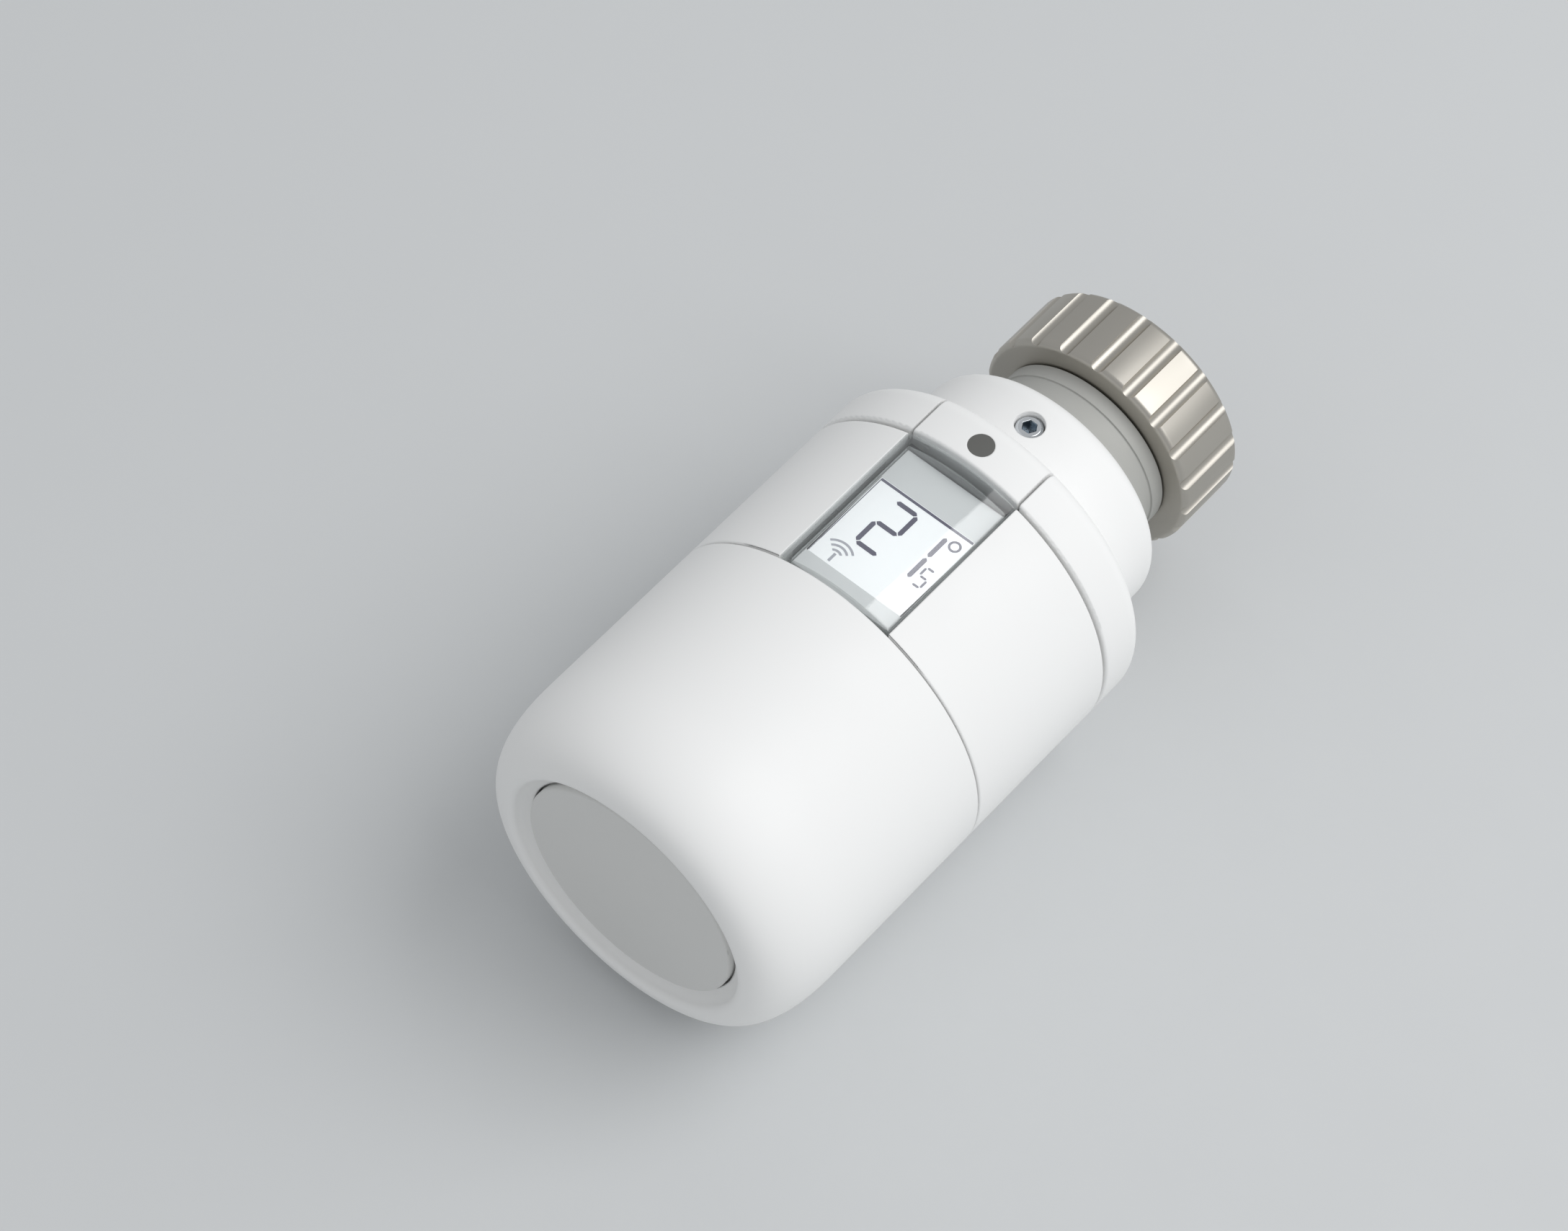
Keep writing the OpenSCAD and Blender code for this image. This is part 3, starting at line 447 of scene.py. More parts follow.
def end_tree(tree, given, geometry, smooth=True):
    """Ends a tree with smooth shading, Realize Instances and Set Material."""
    real = put(tree, "GeometryNodeRealizeInstances", None, {"Geometry": geometry})
    shaded = put(tree, "GeometryNodeSetShadeSmooth", {"Shade Smooth": smooth}, {0: real.outputs[0]})
    dressed = put(
        tree, "GeometryNodeSetMaterial", None,
        {"Geometry": shaded.outputs[0], "Material": given["Material"]},
    )
    put(tree, "NodeGroupOutput", None, {0: dressed.outputs[0]})


def on_points(tree, given, shape, turned=None, smooth=True):
    """Ends a tree with its shape on each point given, turned if a link says how."""
    points = put(tree, "GeometryNodeMeshToPoints", None, {"Mesh": given["Geometry"]})
    links = {"Points": points.outputs[0], "Instance": shape, **(turned or {})}
    end_tree(tree, given, put(tree, "GeometryNodeInstanceOnPoints", None, links).outputs[0], smooth)


def wound(tree, path, thickness, sides, settings=None):
    """A capped wire along a spiral: path holds the spiral's links, thickness the wire's radius."""
    spiral = put(tree, "GeometryNodeCurveSpiral", settings, path)
    section = put(
        tree, "GeometryNodeCurvePrimitiveCircle", {"mode": "RADIUS", "Resolution": sides},
        {"Radius": thickness},
    )
    links = {"Curve": spiral.outputs["Curve"], "Profile Curve": section.outputs["Curve"]}
    return put(tree, "GeometryNodeCurveToMesh", {"Fill Caps": True}, links).outputs[0]


def grow(name, mesh, slot, values):
    """Runs a tree on a mesh with a slot's finish and other inputs, and returns the mesh it makes."""
    tree = bpy.data.node_groups[name]
    values = {"Material": finish_of(slot), **values}
    holder = put_in("grow", mesh)
    maker = holder.modifiers.new("grow", "NODES")
    maker.node_group = tree
    for item in tree.interface.items_tree:
        if item.item_type == "SOCKET" and item.in_out == "INPUT" and item.name in values:
            maker[item.identifier] = values[item.name]
    return finished(holder)


def coil(slot, radius, wire, pitch, turns, steps, places=((0, 0, 0),)):
    """Coils that climb along +Z from each place, in millimetres: a thread's ridge, or springs."""
    values = {"Radius": radius * MM, "Ridge": wire * MM, "Pitch": pitch * MM, "Turns": turns, "Steps": steps}
    return grow("thread", spots(places), slot, values)


def cross_heads(name, node, places, radius, height, shank, length, pitch, slit, turn=(0, 0, 0)):
    """Cross-head screws in place of a node; slit is the length, width and depth of their recess."""
    far, near, deep = (side * MM for side in slit)
    values = {
        "Head Radius": radius * MM, "Head Height": height * MM, "Shank Radius": shank * MM,
        "Length": length * MM, "Pitch": pitch * MM, "Recess": (far, near, deep),
        "Recess Across": (near, far, deep), "Turn": turn,
    }
    return stand(name, grow("screws", spots(places), "steel", values), "head", "steel", node)


def small_parts(name, slot, places, size, **values):
    """Boxes of one size in millimetres, one at each place, as one piece of the head."""
    values["Size"] = tuple(side * MM for side in size)
    return stand(name, grow("small_parts", spots(places), slot, values), "head", slot)


def turning_tree():
    """Sweeps an outline around the axis of the head, as a lathe or a round mould does."""
    tree, given = new_tree("turning", {"Facets": 192, "Swing": 0.02})
    back = put(tree, "ShaderNodeMath", {"operation": "MULTIPLY", 1: -1.0}, {0: given["Swing"]})
    shift = put(tree, "ShaderNodeCombineXYZ", None, {"X": back.outputs[0]})
    placed = put(
        tree, "GeometryNodeTransform", None,
        {"Geometry": given["Geometry"], "Translation": shift.outputs[0]},
    )
    profile = put(tree, "GeometryNodeMeshToCurve", None, {"Mesh": placed.outputs[0]})
    rail = put(
        tree, "GeometryNodeCurvePrimitiveCircle", {"mode": "RADIUS"},
        {"Resolution": given["Facets"], "Radius": given["Swing"]},
    )
    swept = put(
        tree, "GeometryNodeCurveToMesh", None,
        {"Curve": rail.outputs["Curve"], "Profile Curve": profile.outputs[0]},
    )
    upright = put(
        tree, "GeometryNodeTransform", {"Rotation": (math.radians(90), 0, 0)},
        {"Geometry": swept.outputs[0]},
    )
    merged = put(tree, "GeometryNodeMergeByDistance", {"Distance": SAME}, {"Geometry": upright.outputs[0]})
    end_tree(tree, given, merged.outputs[0])


def thread_tree():
    """Coils that climb along +Z from each point given, as threads and springs do."""
    values = {"Radius": 0.003, "Ridge": 0.0004, "Pitch": 0.0015, "Turns": 5.0, "Steps": 48}
    tree, given = new_tree("thread", values)
    height = put(tree, "ShaderNodeMath", {"operation": "MULTIPLY"}, {0: given["Pitch"], 1: given["Turns"]})
    path = {
        "Resolution": given["Steps"], "Rotations": given["Turns"], "Start Radius": given["Radius"],
        "End Radius": given["Radius"], "Height": height.outputs[0],
    }
    on_points(tree, given, wound(tree, path, given["Ridge"], 6))


def screw_tree():
    """Cross-head screws, one at each point given, with their heads along Turn's Z."""
    sizes = {
        "Head Radius": 0.0015, "Head Height": 0.0007, "Shank Radius": 0.0008, "Length": 0.003,
        "Pitch": 0.0005, "Recess": (0.0014, 0.0004, 0.0005), "Recess Across": (0.0004, 0.0014, 0.0005),
        "Turn": (0.0, 0.0, 0.0),
    }
    tree, given = new_tree("screws", sizes)
    crown = put(tree, "ShaderNodeMath", {"operation": "MULTIPLY", 1: 0.72}, {0: given["Head Radius"]})
    head = put(
        tree, "GeometryNodeMeshCone", {"Vertices": 32},
        {
            "Radius Top": crown.outputs[0], "Radius Bottom": given["Head Radius"],
            "Depth": given["Head Height"],
        },
    )
    top = put(tree, "ShaderNodeCombineXYZ", None, {"Z": given["Head Height"]})
    cuts = []
    for name in ("Recess", "Recess Across"):
        slot = put(tree, "GeometryNodeMeshCube", None, {"Size": given[name]})
        raised = put(
            tree, "GeometryNodeTransform", None,
            {"Geometry": slot.outputs["Mesh"], "Translation": top.outputs[0]},
        )
        cuts.append(raised.outputs[0])
    cut = put(
        tree, "GeometryNodeMeshBoolean", {"operation": "DIFFERENCE", "solver": "EXACT"},
        {"Mesh 1": head.outputs["Mesh"], "Mesh 2": cuts[0]},
    )
    crossed = put(
        tree, "GeometryNodeMeshBoolean", {"operation": "DIFFERENCE", "solver": "EXACT"},
        {"Mesh 1": cut.outputs["Mesh"], "Mesh 2": cuts[1]},
    )
    shank = put(
        tree, "GeometryNodeMeshCylinder", {"Vertices": 24},
        {"Radius": given["Shank Radius"], "Depth": given["Length"]},
    )
    half = put(tree, "ShaderNodeMath", {"operation": "MULTIPLY", 1: -0.5}, {0: given["Length"]})
    drop = put(tree, "ShaderNodeCombineXYZ", None, {"Z": half.outputs[0]})
    sunk = put(
        tree, "GeometryNodeTransform", {"Scale": (0.82, 0.82, 1.0)},
        {"Geometry": shank.outputs["Mesh"], "Translation": drop.outputs[0]},
    )
    turns = put(tree, "ShaderNodeMath", {"operation": "DIVIDE"}, {0: given["Length"], 1: given["Pitch"]})
    crest = put(tree, "ShaderNodeMath", {"operation": "MULTIPLY", 1: 0.24}, {0: given["Pitch"]})
    reach = put(
        tree, "ShaderNodeMath", {"operation": "SUBTRACT"}, {0: given["Shank Radius"], 1: crest.outputs[0]},
    )
    path = {
        "Rotations": turns.outputs[0], "Start Radius": reach.outputs[0], "End Radius": reach.outputs[0],
        "Height": given["Length"],
    }
    ridge = wound(tree, path, crest.outputs[0], 5, {"Resolution": 20})
    under = put(tree, "ShaderNodeMath", {"operation": "MULTIPLY", 1: -1.0}, {0: given["Length"]})
    low = put(tree, "ShaderNodeCombineXYZ", None, {"Z": under.outputs[0]})
    thread = put(tree, "GeometryNodeTransform", None, {"Geometry": ridge, "Translation": low.outputs[0]})
    whole = put(tree, "GeometryNodeJoinGeometry")
    for part in (crossed.outputs["Mesh"], sunk.outputs[0], thread.outputs[0]):
        tree.links.new(part, whole.inputs[0])
    spin = put(tree, "FunctionNodeEulerToRotation", None, {0: given["Turn"]})
    on_points(tree, given, whole.outputs[0], {"Rotation": spin.outputs[0]}, smooth=False)


def chip_tree():
    """Small boxes, one at each point given: resistors, capacitors, legs or pads."""
    tree, given = new_tree("small_parts", {"Size": (0.001, 0.0005, 0.0004), "Seed": 0, "Quarter Turns": 0})
    block = put(tree, "GeometryNodeMeshCube", None, {"Size": given["Size"]})
    pick = put(
        tree, "FunctionNodeRandomValue", {"data_type": "INT", 4: 0},
        {5: given["Quarter Turns"], "Seed": given["Seed"]},
    )
    angle = put(tree, "ShaderNodeMath", {"operation": "MULTIPLY", 1: math.pi / 2}, {0: pick.outputs[2]})
    turn = put(tree, "ShaderNodeCombineXYZ", None, {"Z": angle.outputs[0]})
    spin = put(tree, "FunctionNodeEulerToRotation", None, {0: turn.outputs[0]})
    on_points(tree, given, block.outputs["Mesh"], {"Rotation": spin.outputs[0]}, smooth=False)


# ---------------------------------------------------------------- properties


LENGTH = {"subtype": "DISTANCE", "unit": "LENGTH"}


class ValveSizes(bpy.types.PropertyGroup):
    """Sizes that the looks add to the frame."""

    facets: bpy.props.IntProperty(
        name="Facets", description="Facets around the turned pieces", default=192, min=48, max=256
    )
    edge: bpy.props.FloatProperty(
        name="Moulded edge", description="Rounding of the moulded edges, in millimetres", default=0.18,
        min=0.05, max=0.4,
    )
    shoulder_power: bpy.props.FloatProperty(
        name="Shoulder fullness", description="Power of the curve of the dial's soft shoulder", default=0.8,
        min=0.6, max=1.0, subtype="FACTOR",
    )
    nut_pitch: bpy.props.FloatProperty(
        name="Nut pitch", description="Pitch of the union nut's thread", default=1.5 * MM, **LENGTH,
    )
    clamp_pitch: bpy.props.FloatProperty(
        name="Clamp screw pitch", description="Pitch of the clamp screw's thread", default=0.7 * MM,
        **LENGTH,
    )
    seed: bpy.props.IntProperty(
        name="Seed", description="Seed for the turns of the small electronic parts", default=11
    )
    floor: bpy.props.FloatProperty(name="Floor", description="Side of the floor", default=40.0, **LENGTH)


def tone(name, description, code):
    """A colour property with an sRGB default."""
    return bpy.props.FloatVectorProperty(
        name=name, description=description, subtype="COLOR", size=3, min=0, max=1, default=linear(code)[:3],
    )


class ValveColours(bpy.types.PropertyGroup):
    """Colours that a user may change."""

    shell: tone("Shell", "White plastic of the dial, the sleeve and the collar", "#F6F6F5")
    # The button's grey is partly painted shade of the recess that it sits in
    button: tone("Button", "Light grey plastic of the push button", "#DCDCDA")
    adapter: tone("Adapter", "Grey metal of the valve adapter", "#BDBDB9")
    dot: tone("Marker", "Grey marker on the release tab", "#62625F")
    # The display's white is also the colour of its painted glow
    display: tone("Display", "White of the display", "#FCFDFE")
    marks: tone("Marks", "Dark marks of the display", "#565368")
    board: tone("Board", "Solder mask of the boards", "#1F6142")
    cell: tone("Cells", "Wrap of the cells", "#2C5B8C")
    chassis: tone("Chassis", "Plastic of the inner frame", "#C4C6C7")
    floor: tone("Floor", "Floor", "#D2D4D5")


# ---------------------------------------------------------------- operators


class VALVE_OT_finishes(bpy.types.Operator):
    """Makes the material of every slot"""

    bl_idname = "valve.finishes"
    bl_label = "Finishes"

    def execute(self, context):
        hue = context.scene.valve_colours
        # ABS with a fine spark-eroded mould texture: an even, soft white with a low sheen
        dull = {"Specular IOR Level": 0.35}
        grained("white_housing", ink(hue.shell), 0.5, 0.35, 0.004, 0.008, corner=0.3, **dull)
        # ABS from a smoother mould: a light grey, darkened further as painted shade of the dial's recess
        # around it
        grained("button_plastic", ink(hue.button), 0.4, 0.35, 0.004, 0.01)
        # Polypropylene moulded without a gloss: a little greyer and duller than the shell
        grained("drum_plastic", linear("#D9D9D6"), 0.5, 0.5, 0.006, 0.02)
        # Clear polished polycarbonate: see-through face on, milky and bright on edge
        lens_material("clear_lens", linear("#FDFEFE"), linear("#DDE0E1"))
        # Milky polycarbonate around the display: smooth, soft white
        grained("holder_plastic", linear("#EEEFEF"), 0.3, 0.8, 0.003, 0.03)
        # Glass over a white polariser: the brightest surface, with a faint painted glow that stands in for
        # the light the clear cover keeps off it
        painted_glow = {"Emission Color": ink(hue.display), "Emission Strength": 0.3}
        grained("lcd_glass", ink(hue.display), 0.22, 3.0, 0.001, 0.012, **painted_glow)
        # Liquid crystal: dark violet grey, and pale grey for the signal mark, which is driven less
        spotted("lcd_ink", ink(hue.marks), linear("#BDBDC6"), signal_centre(), 3.35 * MM, 0.45)
        # Polished acrylic block: clear white
        grained("light_guide", linear("#F3F7F9"), 0.12, 2.0, 0.002, 0.01)
        # Zebra connector: carbon-filled and clear silicone in stripes 0.2 mm wide, drawn at 0.4 mm
        striped("zebra_rubber", linear("#D9A7A7"), linear("#2A2A2C"), 0.4, 0, 0.6)
        # Glass epoxy under a printed solder mask: deep green with paler tracks
        board_material("circuit_board", ink(hue.board), linear("#3C8A63"))
        # Moulded epoxy: matt near-black with a fine pitted grain
        grained("chip_plastic", linear("#242426"), 0.62, 0.12, 0.006, 0.1)
        # Tin-plated shield: bright, faintly cloudy
        grained("shield_can", linear("#C9CBCC"), 0.3, 0.6, 0.004, 0.05, metal=1)
        # Matt printed inlay: dense warm grey
        grained("marker_ink", ink(hue.dot), 0.55, 0.2, 0.003, 0.05)
        # Shot-blasted zinc casting: dull and even, its grain 0.5 mm wide so that it shows
        grained("adapter_metal", ink(hue.adapter), 0.72, 0.5, 0.02, 0.09, metal=0.25)
        # Nickel-plated brass: warm white metal, turned, with a satin gloss
        grained("nickel", linear("#BDB9B1"), 0.4, 0.3, 0.004, 0.06, metal=1)
        # Chromed steel: bright, with painted shade, a darker blue grey, within reach of the socket's floor,
        # where the recess lies in shade
        low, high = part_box("set_screw")
        painted_shade_centre = (0, (low.y + high.y) / 2, high.z - 1.45 * MM)
        spotted("chrome_screw", linear("#D2D5D8"), linear("#8B939A"), painted_shade_centre, 1.52 * MM, 0.16, 1)
        # Turned brass: yellow, with tool lines across the axis
        grained("brass", linear("#C49A4E"), 0.26, 0.2, 0.004, 0.08, metal=1)
        # Cold-drawn spring wire: grey, drawn along its length
        grained("spring_steel", linear("#A9ACAF"), 0.3, 0.25, 0.004, 0.08, metal=1)
        # Ground steel: bright and even, with a fine sheen
        grained("steel", linear("#BFC2C5"), 0.22, 0.2, 0.003, 0.05, metal=1)
        # Glass-filled nylon: grey, dull, with a coarse mould texture
        grained("chassis_plastic", ink(hue.chassis), 0.55, 0.6, 0.01, 0.03)
        # Printed shrink film on a steel can: smooth, slightly glossy
        grained(
            "cell_wrap", ink(hue.cell), 0.28, 2.5, 0.006, 0.05,
            **{"Coat Weight": 0.4, "Coat Roughness": 0.15},
        )
        # Nickel-plated spring leaf, and the bare metal of the cells' ends, the legs and the pads
        grained("contact_metal", linear("#CFCBC2"), 0.25, 0.3, 0.003, 0.05, metal=1)
        # Deep-drawn zinc-plated can: faint lines along the draw
        grained("motor_steel", linear("#B4B7B9"), 0.34, 0.5, 0.005, 0.07, metal=1, drag=(1, 0.15, 1))
        # Moulded nylon: near-black, dull
        grained("black_plastic", linear("#2B2C2E"), 0.5, 0.3, 0.006, 0.06)
        # Acetal: ivory, waxy, slightly translucent
        grained("gear_plastic", linear("#E9E3D0"), 0.36, 0.4, 0.003, 0.03, **{"Subsurface Weight": 0.1})
        grained("output_plastic", linear("#DCCDA4"), 0.36, 0.4, 0.003, 0.03)
        grained("spindle_plastic", linear("#E3E4E4"), 0.36, 0.4, 0.003, 0.03)
        # Bonded ferrite: charcoal, dull, with a fine speckle
        grained("magnet", linear("#37373A"), 0.6, 0.25, 0.008, 0.15)
        # Silicone insulation: saturated, soft gloss
        grained("red_wire", linear("#B93A2C"), 0.4, 0.5, 0.004, 0.05)
        grained("black_wire", linear("#2A2C2F"), 0.4, 0.5, 0.004, 0.05)
        return {"FINISHED"}


def signal_centre():
    """Where the signal mark stands on the display."""
    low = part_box("lcd_panel")[0]
    return (-4.8 * MM, low.y + 1.2 * MM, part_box("lcd_segments")[1].z)


def shoulder(outer, inner, start, end, power, steps):
    """Points of the dial's soft shoulder, from the outer radius at start to the inner one at end."""
    found = []
    for k in range(steps + 1):
        a = math.pi / 2 * k / steps
        r = inner + (outer - inner) * max(0, math.cos(a)) ** power
        found.append((r, start + (end - start) * math.sin(a) ** power))
    return found


def groove(bore, start, depth, width):
    """Points of a square groove in a bore, from its rear side forward."""
    return [(bore, start), (bore + depth, start), (bore + depth, start - width), (bore, start - width)]


class VALVE_OT_dial(bpy.types.Operator):
    """Turns the dial: soft shoulder, rolled rim, round channel, and the grooves inside"""

    bl_idname = "valve.dial"
    bl_label = "Dial"

    def execute(self, context):
        size = context.scene.valve_sizes
        low, high = corners("dial")
        front, rear = low.y, high.y
        outer, rim, wall, edge = high.x, 19.8, 2.4, 0.14
        inner = outer - wall
        play, rolled = 0.35, 0.72
        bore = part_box("button_cap")[1].x / MM + play
        # Where the shoulder begins, and the two faces of the dial's front wall at its mouth
        turn, inside, lip = front + 14.2, front + 3.5, front + 2.3
        skin = shoulder(outer, rim, turn, front, size.shoulder_power, 40)
        skin = [p for p in skin if p[0] > rim + rolled]
        channel = arc((17.7, front + 0.3), 2, 85, 22, 10)
        roll = bend(channel[-1], (rim - 0.06, front + 0.06), skin[-1])
        line = [(bore, inside), (bore, lip)]
        line += channel + roll[1:-1] + skin[::-1]
        line += [(outer, rear - edge), (outer - edge, rear), (inner + edge, rear), (inner, rear - edge)]
        # The grooves that hold the retaining ring and the magnet ring
        line += groove(inner, rear - 0.95, 0.8, 1.8) + groove(inner, rear - 10.75, 1.2, 3)
        line += shoulder(inner, rim, turn, inside, size.shoulder_power, 20)
        mesh = turned_mesh(line, "white_housing", size.facets)
        stand("dial_shell", mesh, "dial", "white_housing", "dial")
        soften("encoder_magnet_ring", "dial", "magnet", 0.1)
        return {"FINISHED"}


def turned_mesh(line, slot, facets=64, shift=None):
    """The mesh that an outline makes around the axis, with its normals outward and sharp creases."""
    mesh = grow("turning", outline(line), slot, {"Facets": facets})
    work = bmesh.new()
    work.from_mesh(mesh)
    bmesh.ops.remove_doubles(work, verts=work.verts, dist=SAME)
    bmesh.ops.recalc_face_normals(work, faces=work.faces)
    if work.calc_volume(signed=True) < 0:
        bmesh.ops.reverse_faces(work, faces=work.faces)
    if shift:
        bmesh.ops.translate(work, verts=work.verts, vec=Vector(shift) * MM)
    work.to_mesh(mesh)
    work.free()
    mesh.shade_smooth()
    mesh.set_sharp_from_angle(angle=math.radians(40))
    return mesh


class VALVE_OT_button(bpy.types.Operator):
    """Makes the push button, its springs and its switch"""

    bl_idname = "valve.button"
    bl_label = "Push button"

    def execute(self, context):
        soften("button_cap", "button", "button_plastic", 0.08)
        low, high = corners("button_springs")
        wire, reach, travel, turns = 0.17, 1.8, 0.8, 2.0
        span = high.x - reach - wire
        start, end = high.y - wire, low.y + wire
        places = [(x * span, z * span, -start) for x in (-1, 1) for z in (-1, 1)]
        mesh = coil("spring_steel", reach, wire, (start - end) / turns, turns, 32, places)
        mesh.transform(LYING)
        springs = stand("coil_springs", mesh, "cap", "spring_steel", "button_springs")
        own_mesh(springs)
        soften("tact_switch", "head", "chip_plastic", 0.12)
        soften("tact_plunger", "switch_plunger", "drum_plastic", 0.1)
        soften("button_pcb", "head", "circuit_board", 0.06)
        low, high = corners("tact_switch")
        out, apart, thick = 0.35, 2.2, 0.3
        feet = [(x, high.y - thick / 2, z) for x in (low.x - out, high.x + out) for z in (-apart, apart)]
        small_parts("tact_feet", "contact_metal", feet, (1.1, thick, 0.7))
        return {"FINISHED"}


class VALVE_OT_cap(bpy.types.Operator):
    """Makes the sleeve, the drum that the dial turns on, and the ring that holds the dial"""

    bl_idname = "valve.cap"
    bl_label = "Sleeve and drum"

    def execute(self, context):
        edge = context.scene.valve_sizes.edge
        soften("sleeve", "cap", "white_housing", edge)
        soften("inner_drum", "cap", "drum_plastic")
        soften("dial_retaining_ring", "cap", "spring_steel", 0.08)
        return {"FINISHED"}


class VALVE_OT_collar(bpy.types.Operator):
    """Makes the collar and neck, and the release tab with its marker, pivot and spring"""

    bl_idname = "valve.collar"
    bl_label = "Collar and release tab"

    def execute(self, context):
        edge = context.scene.valve_sizes.edge
        soften("rear_housing", "head", "white_housing", edge + 0.08)
        soften("release_tab", "tab", "white_housing", edge + 0.12)
        keep("tab_dot", "marker_ink")
        soften("tab_pin", "head", "steel", 0.1)
        soften("tab_spring", "head", "spring_steel", 0.04)
        return {"FINISHED"}


class VALVE_OT_window(bpy.types.Operator):
    """Makes the clear cover and the display under it"""

    bl_idname = "valve.window"
    bl_label = "Display window"

    def execute(self, context):
        soften("window_lens", "head", "clear_lens", 0.16)
        soften("display_holder", "head", "holder_plastic", 0.2)
        keep("lcd_panel", "lcd_glass")
        keep("lcd_segments", "lcd_ink")
        soften("light_guide", "head", "light_guide", 0.12)
        keep("lcd_connector", "zebra_rubber")
        return {"FINISHED"}


class VALVE_OT_adapter(bpy.types.Operator):
    """Makes the union nut with its thread, the adapter and its snap ring"""

    bl_idname = "valve.adapter"
    bl_label = "Nut and adapter"

    def execute(self, context):
        size = context.scene.valve_sizes
        low, high = corners("union_nut")
        # The bore is opened from the thread's minor radius to its root, and the ridge fills it again
        minor, depth, ridge, inset, plain = 14.188, 0.8, 0.52, 0.7, 5.2
        nut = moved(
            soft_copy("union_nut"),
            lambda p: abs(math.hypot(p.x, p.z) - minor) < 0.02 and p.y < high.y - 0.5,
            lambda p: Vector((p.x, 0, p.z)).normalized() * (minor + depth) + Vector((0, p.y, 0)),
        )
        pitch = size.nut_pitch / MM
        thread = coil("nickel", minor + ridge, ridge, pitch, (high.y - low.y - plain) / pitch, 96)
        thread.transform(Matrix.Translation((0, (high.y - inset) * MM, 0)) @ LYING)
        stand("union_nut_body", joined(nut, thread), "union_nut", "nickel", "union_nut")
        soften("valve_adapter", "adapter", "adapter_metal")
        soften("adapter_circlip", "adapter", "spring_steel", 0.08)
        return {"FINISHED"}


class VALVE_OT_fasteners(bpy.types.Operator):
    """Makes the clamp screw with its thread and bush, and the cross-head screws"""

    bl_idname = "valve.fasteners"
    bl_label = "Screws"

    def execute(self, context):
        size = context.scene.valve_sizes
        low, high = corners("set_screw")
        # The shank shrinks to the thread's root, below a plain rim, and the ridge goes round it
        shank, root, ridge, plain, tip = 2.0, 0.84, 0.24, 0.75, 1.4
        middle = (low.y + high.y) / 2
        core = moved(
            soft_copy("set_screw", 0.07),
            lambda p: p.z < high.z - plain and math.hypot(p.x, p.y - middle) > shank - 0.1,
            lambda p: Vector((p.x * root, middle + (p.y - middle) * root, p.z)),
        )
        pitch = size.clamp_pitch / MM
        turns = (high.z - low.z - 2.4) / pitch
        thread = coil("chrome_screw", shank - ridge, ridge, pitch, turns, 32)
        thread.transform(Matrix.Translation((0, middle * MM, (low.z + tip) * MM)))
        stand("clamp_screw", joined(core, thread), "clamp_screw", "chrome_screw", "set_screw")
        soften("screw_bush", "head", "brass", 0.1)
        low, high = corners("pcb_screws")
        radius, height = 1.5, 0.7
        seat = high.z - height
        places = [(x, (low.y + high.y) / 2, seat) for x in (low.x + radius, high.x - radius)]
        cross_heads(
            "board_screws", "pcb_screws", places, radius, height, 0.8, seat - low.z, 0.55, (1.7, 0.36, 0.8),
        )
        low, high = corners("chassis_screws")
        radius, height = 2.1, 1.2
        seat = low.y + height
        right, top = high.x - radius, high.z - radius
        places = [(right, seat, top), (right, seat, low.z + radius), (low.x + radius, seat, top)]
        cross_heads(
            "gearbox_screws", "chassis_screws", places, radius, height, 1.1, high.y - seat, 0.9,
            (2.5, 0.5, 1.4), (math.pi / 2, 0, 0),
        )
        return {"FINISHED"}


class VALVE_OT_electronics(bpy.types.Operator):
    """Makes the main board with its chips, small parts and pads"""

    bl_idname = "valve.electronics"
    bl_label = "Electronics"

    def execute(self, context):
        seed = context.scene.valve_sizes.seed
        soften("main_pcb", "head", "circuit_board", 0.06)
        soften("mcu_chip", "head", "chip_plastic", 0.08)
        soften("radio_module", "head", "shield_can", 0.25)
        soften("dial_sensor", "head", "chip_plastic", 0.1)
        soften("temperature_sensor", "head", "chip_plastic", 0.08)
        low, high = corners("main_pcb")
        # Two rows behind the display, and two columns at each side
        rows = [(-8.6 + 1.9 * i, low.y + 14.6 + 1.7 * j) for i in range(10) for j in range(2)]
        rows += [(x, low.y + 22 + 1.6 * j) for x in (-8.8, -6.8, 6.6, 8.6) for j in range(5)]
        size = (1.0, 0.5, 0.4)
        places = [(x, y, low.z - size[2] / 2) for x, y in rows]
        small_parts("board_small_parts", "chip_plastic", places, size, Seed=seed, **{"Quarter Turns": 1})
        mcu_low, mcu_high = corners("mcu_chip")
        middle = (mcu_low.y + mcu_high.y) / 2
        # Legs lie on the board and reach out from under their chips
        thick, out = 0.16, 0.25
        under, over = low.z - thick / 2, high.z + thick / 2
        legs = []
        for k in range(8):
            step = -2.8 + 0.8 * k
            legs += [(step, mcu_low.y - out, under), (step, mcu_high.y + out, under)]
            legs += [(side * 3.75, middle + step, under) for side in (-1, 1)]
        sensor_low, sensor_high = corners("dial_sensor")
        legs += [(x, sensor_low.y - out, over) for x in (-1, 0, 1)]
        legs += [(0, sensor_high.y + out, over)]
        small_parts("chip_legs", "contact_metal", legs, (0.42, 0.62, thick))
        thick = 0.12
        pads = [(side * 9.3, y, high.z + thick / 2) for side, y in wire_pads()]
        small_parts("solder_pads", "contact_metal", pads, (1.5, 1.0, thick))
        keep("motor_wires", "red_wire")
        keep("battery_wires", "black_wire")
        keep("button_wires", "black_wire")
        return {"FINISHED"}


def wire_pads():
    """The side (+1 or -1) and the y of each pad that a wire ends on."""
    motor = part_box("motor_end_cap")
    middle = (motor[0].y + motor[1].y) / 2 / MM
    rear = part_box("chassis")[1].y / MM - 1.3 - 0.55 - 4.6
    return [(1, middle - 0.5), (1, middle + 0.5), (1, rear), (-1, rear)]


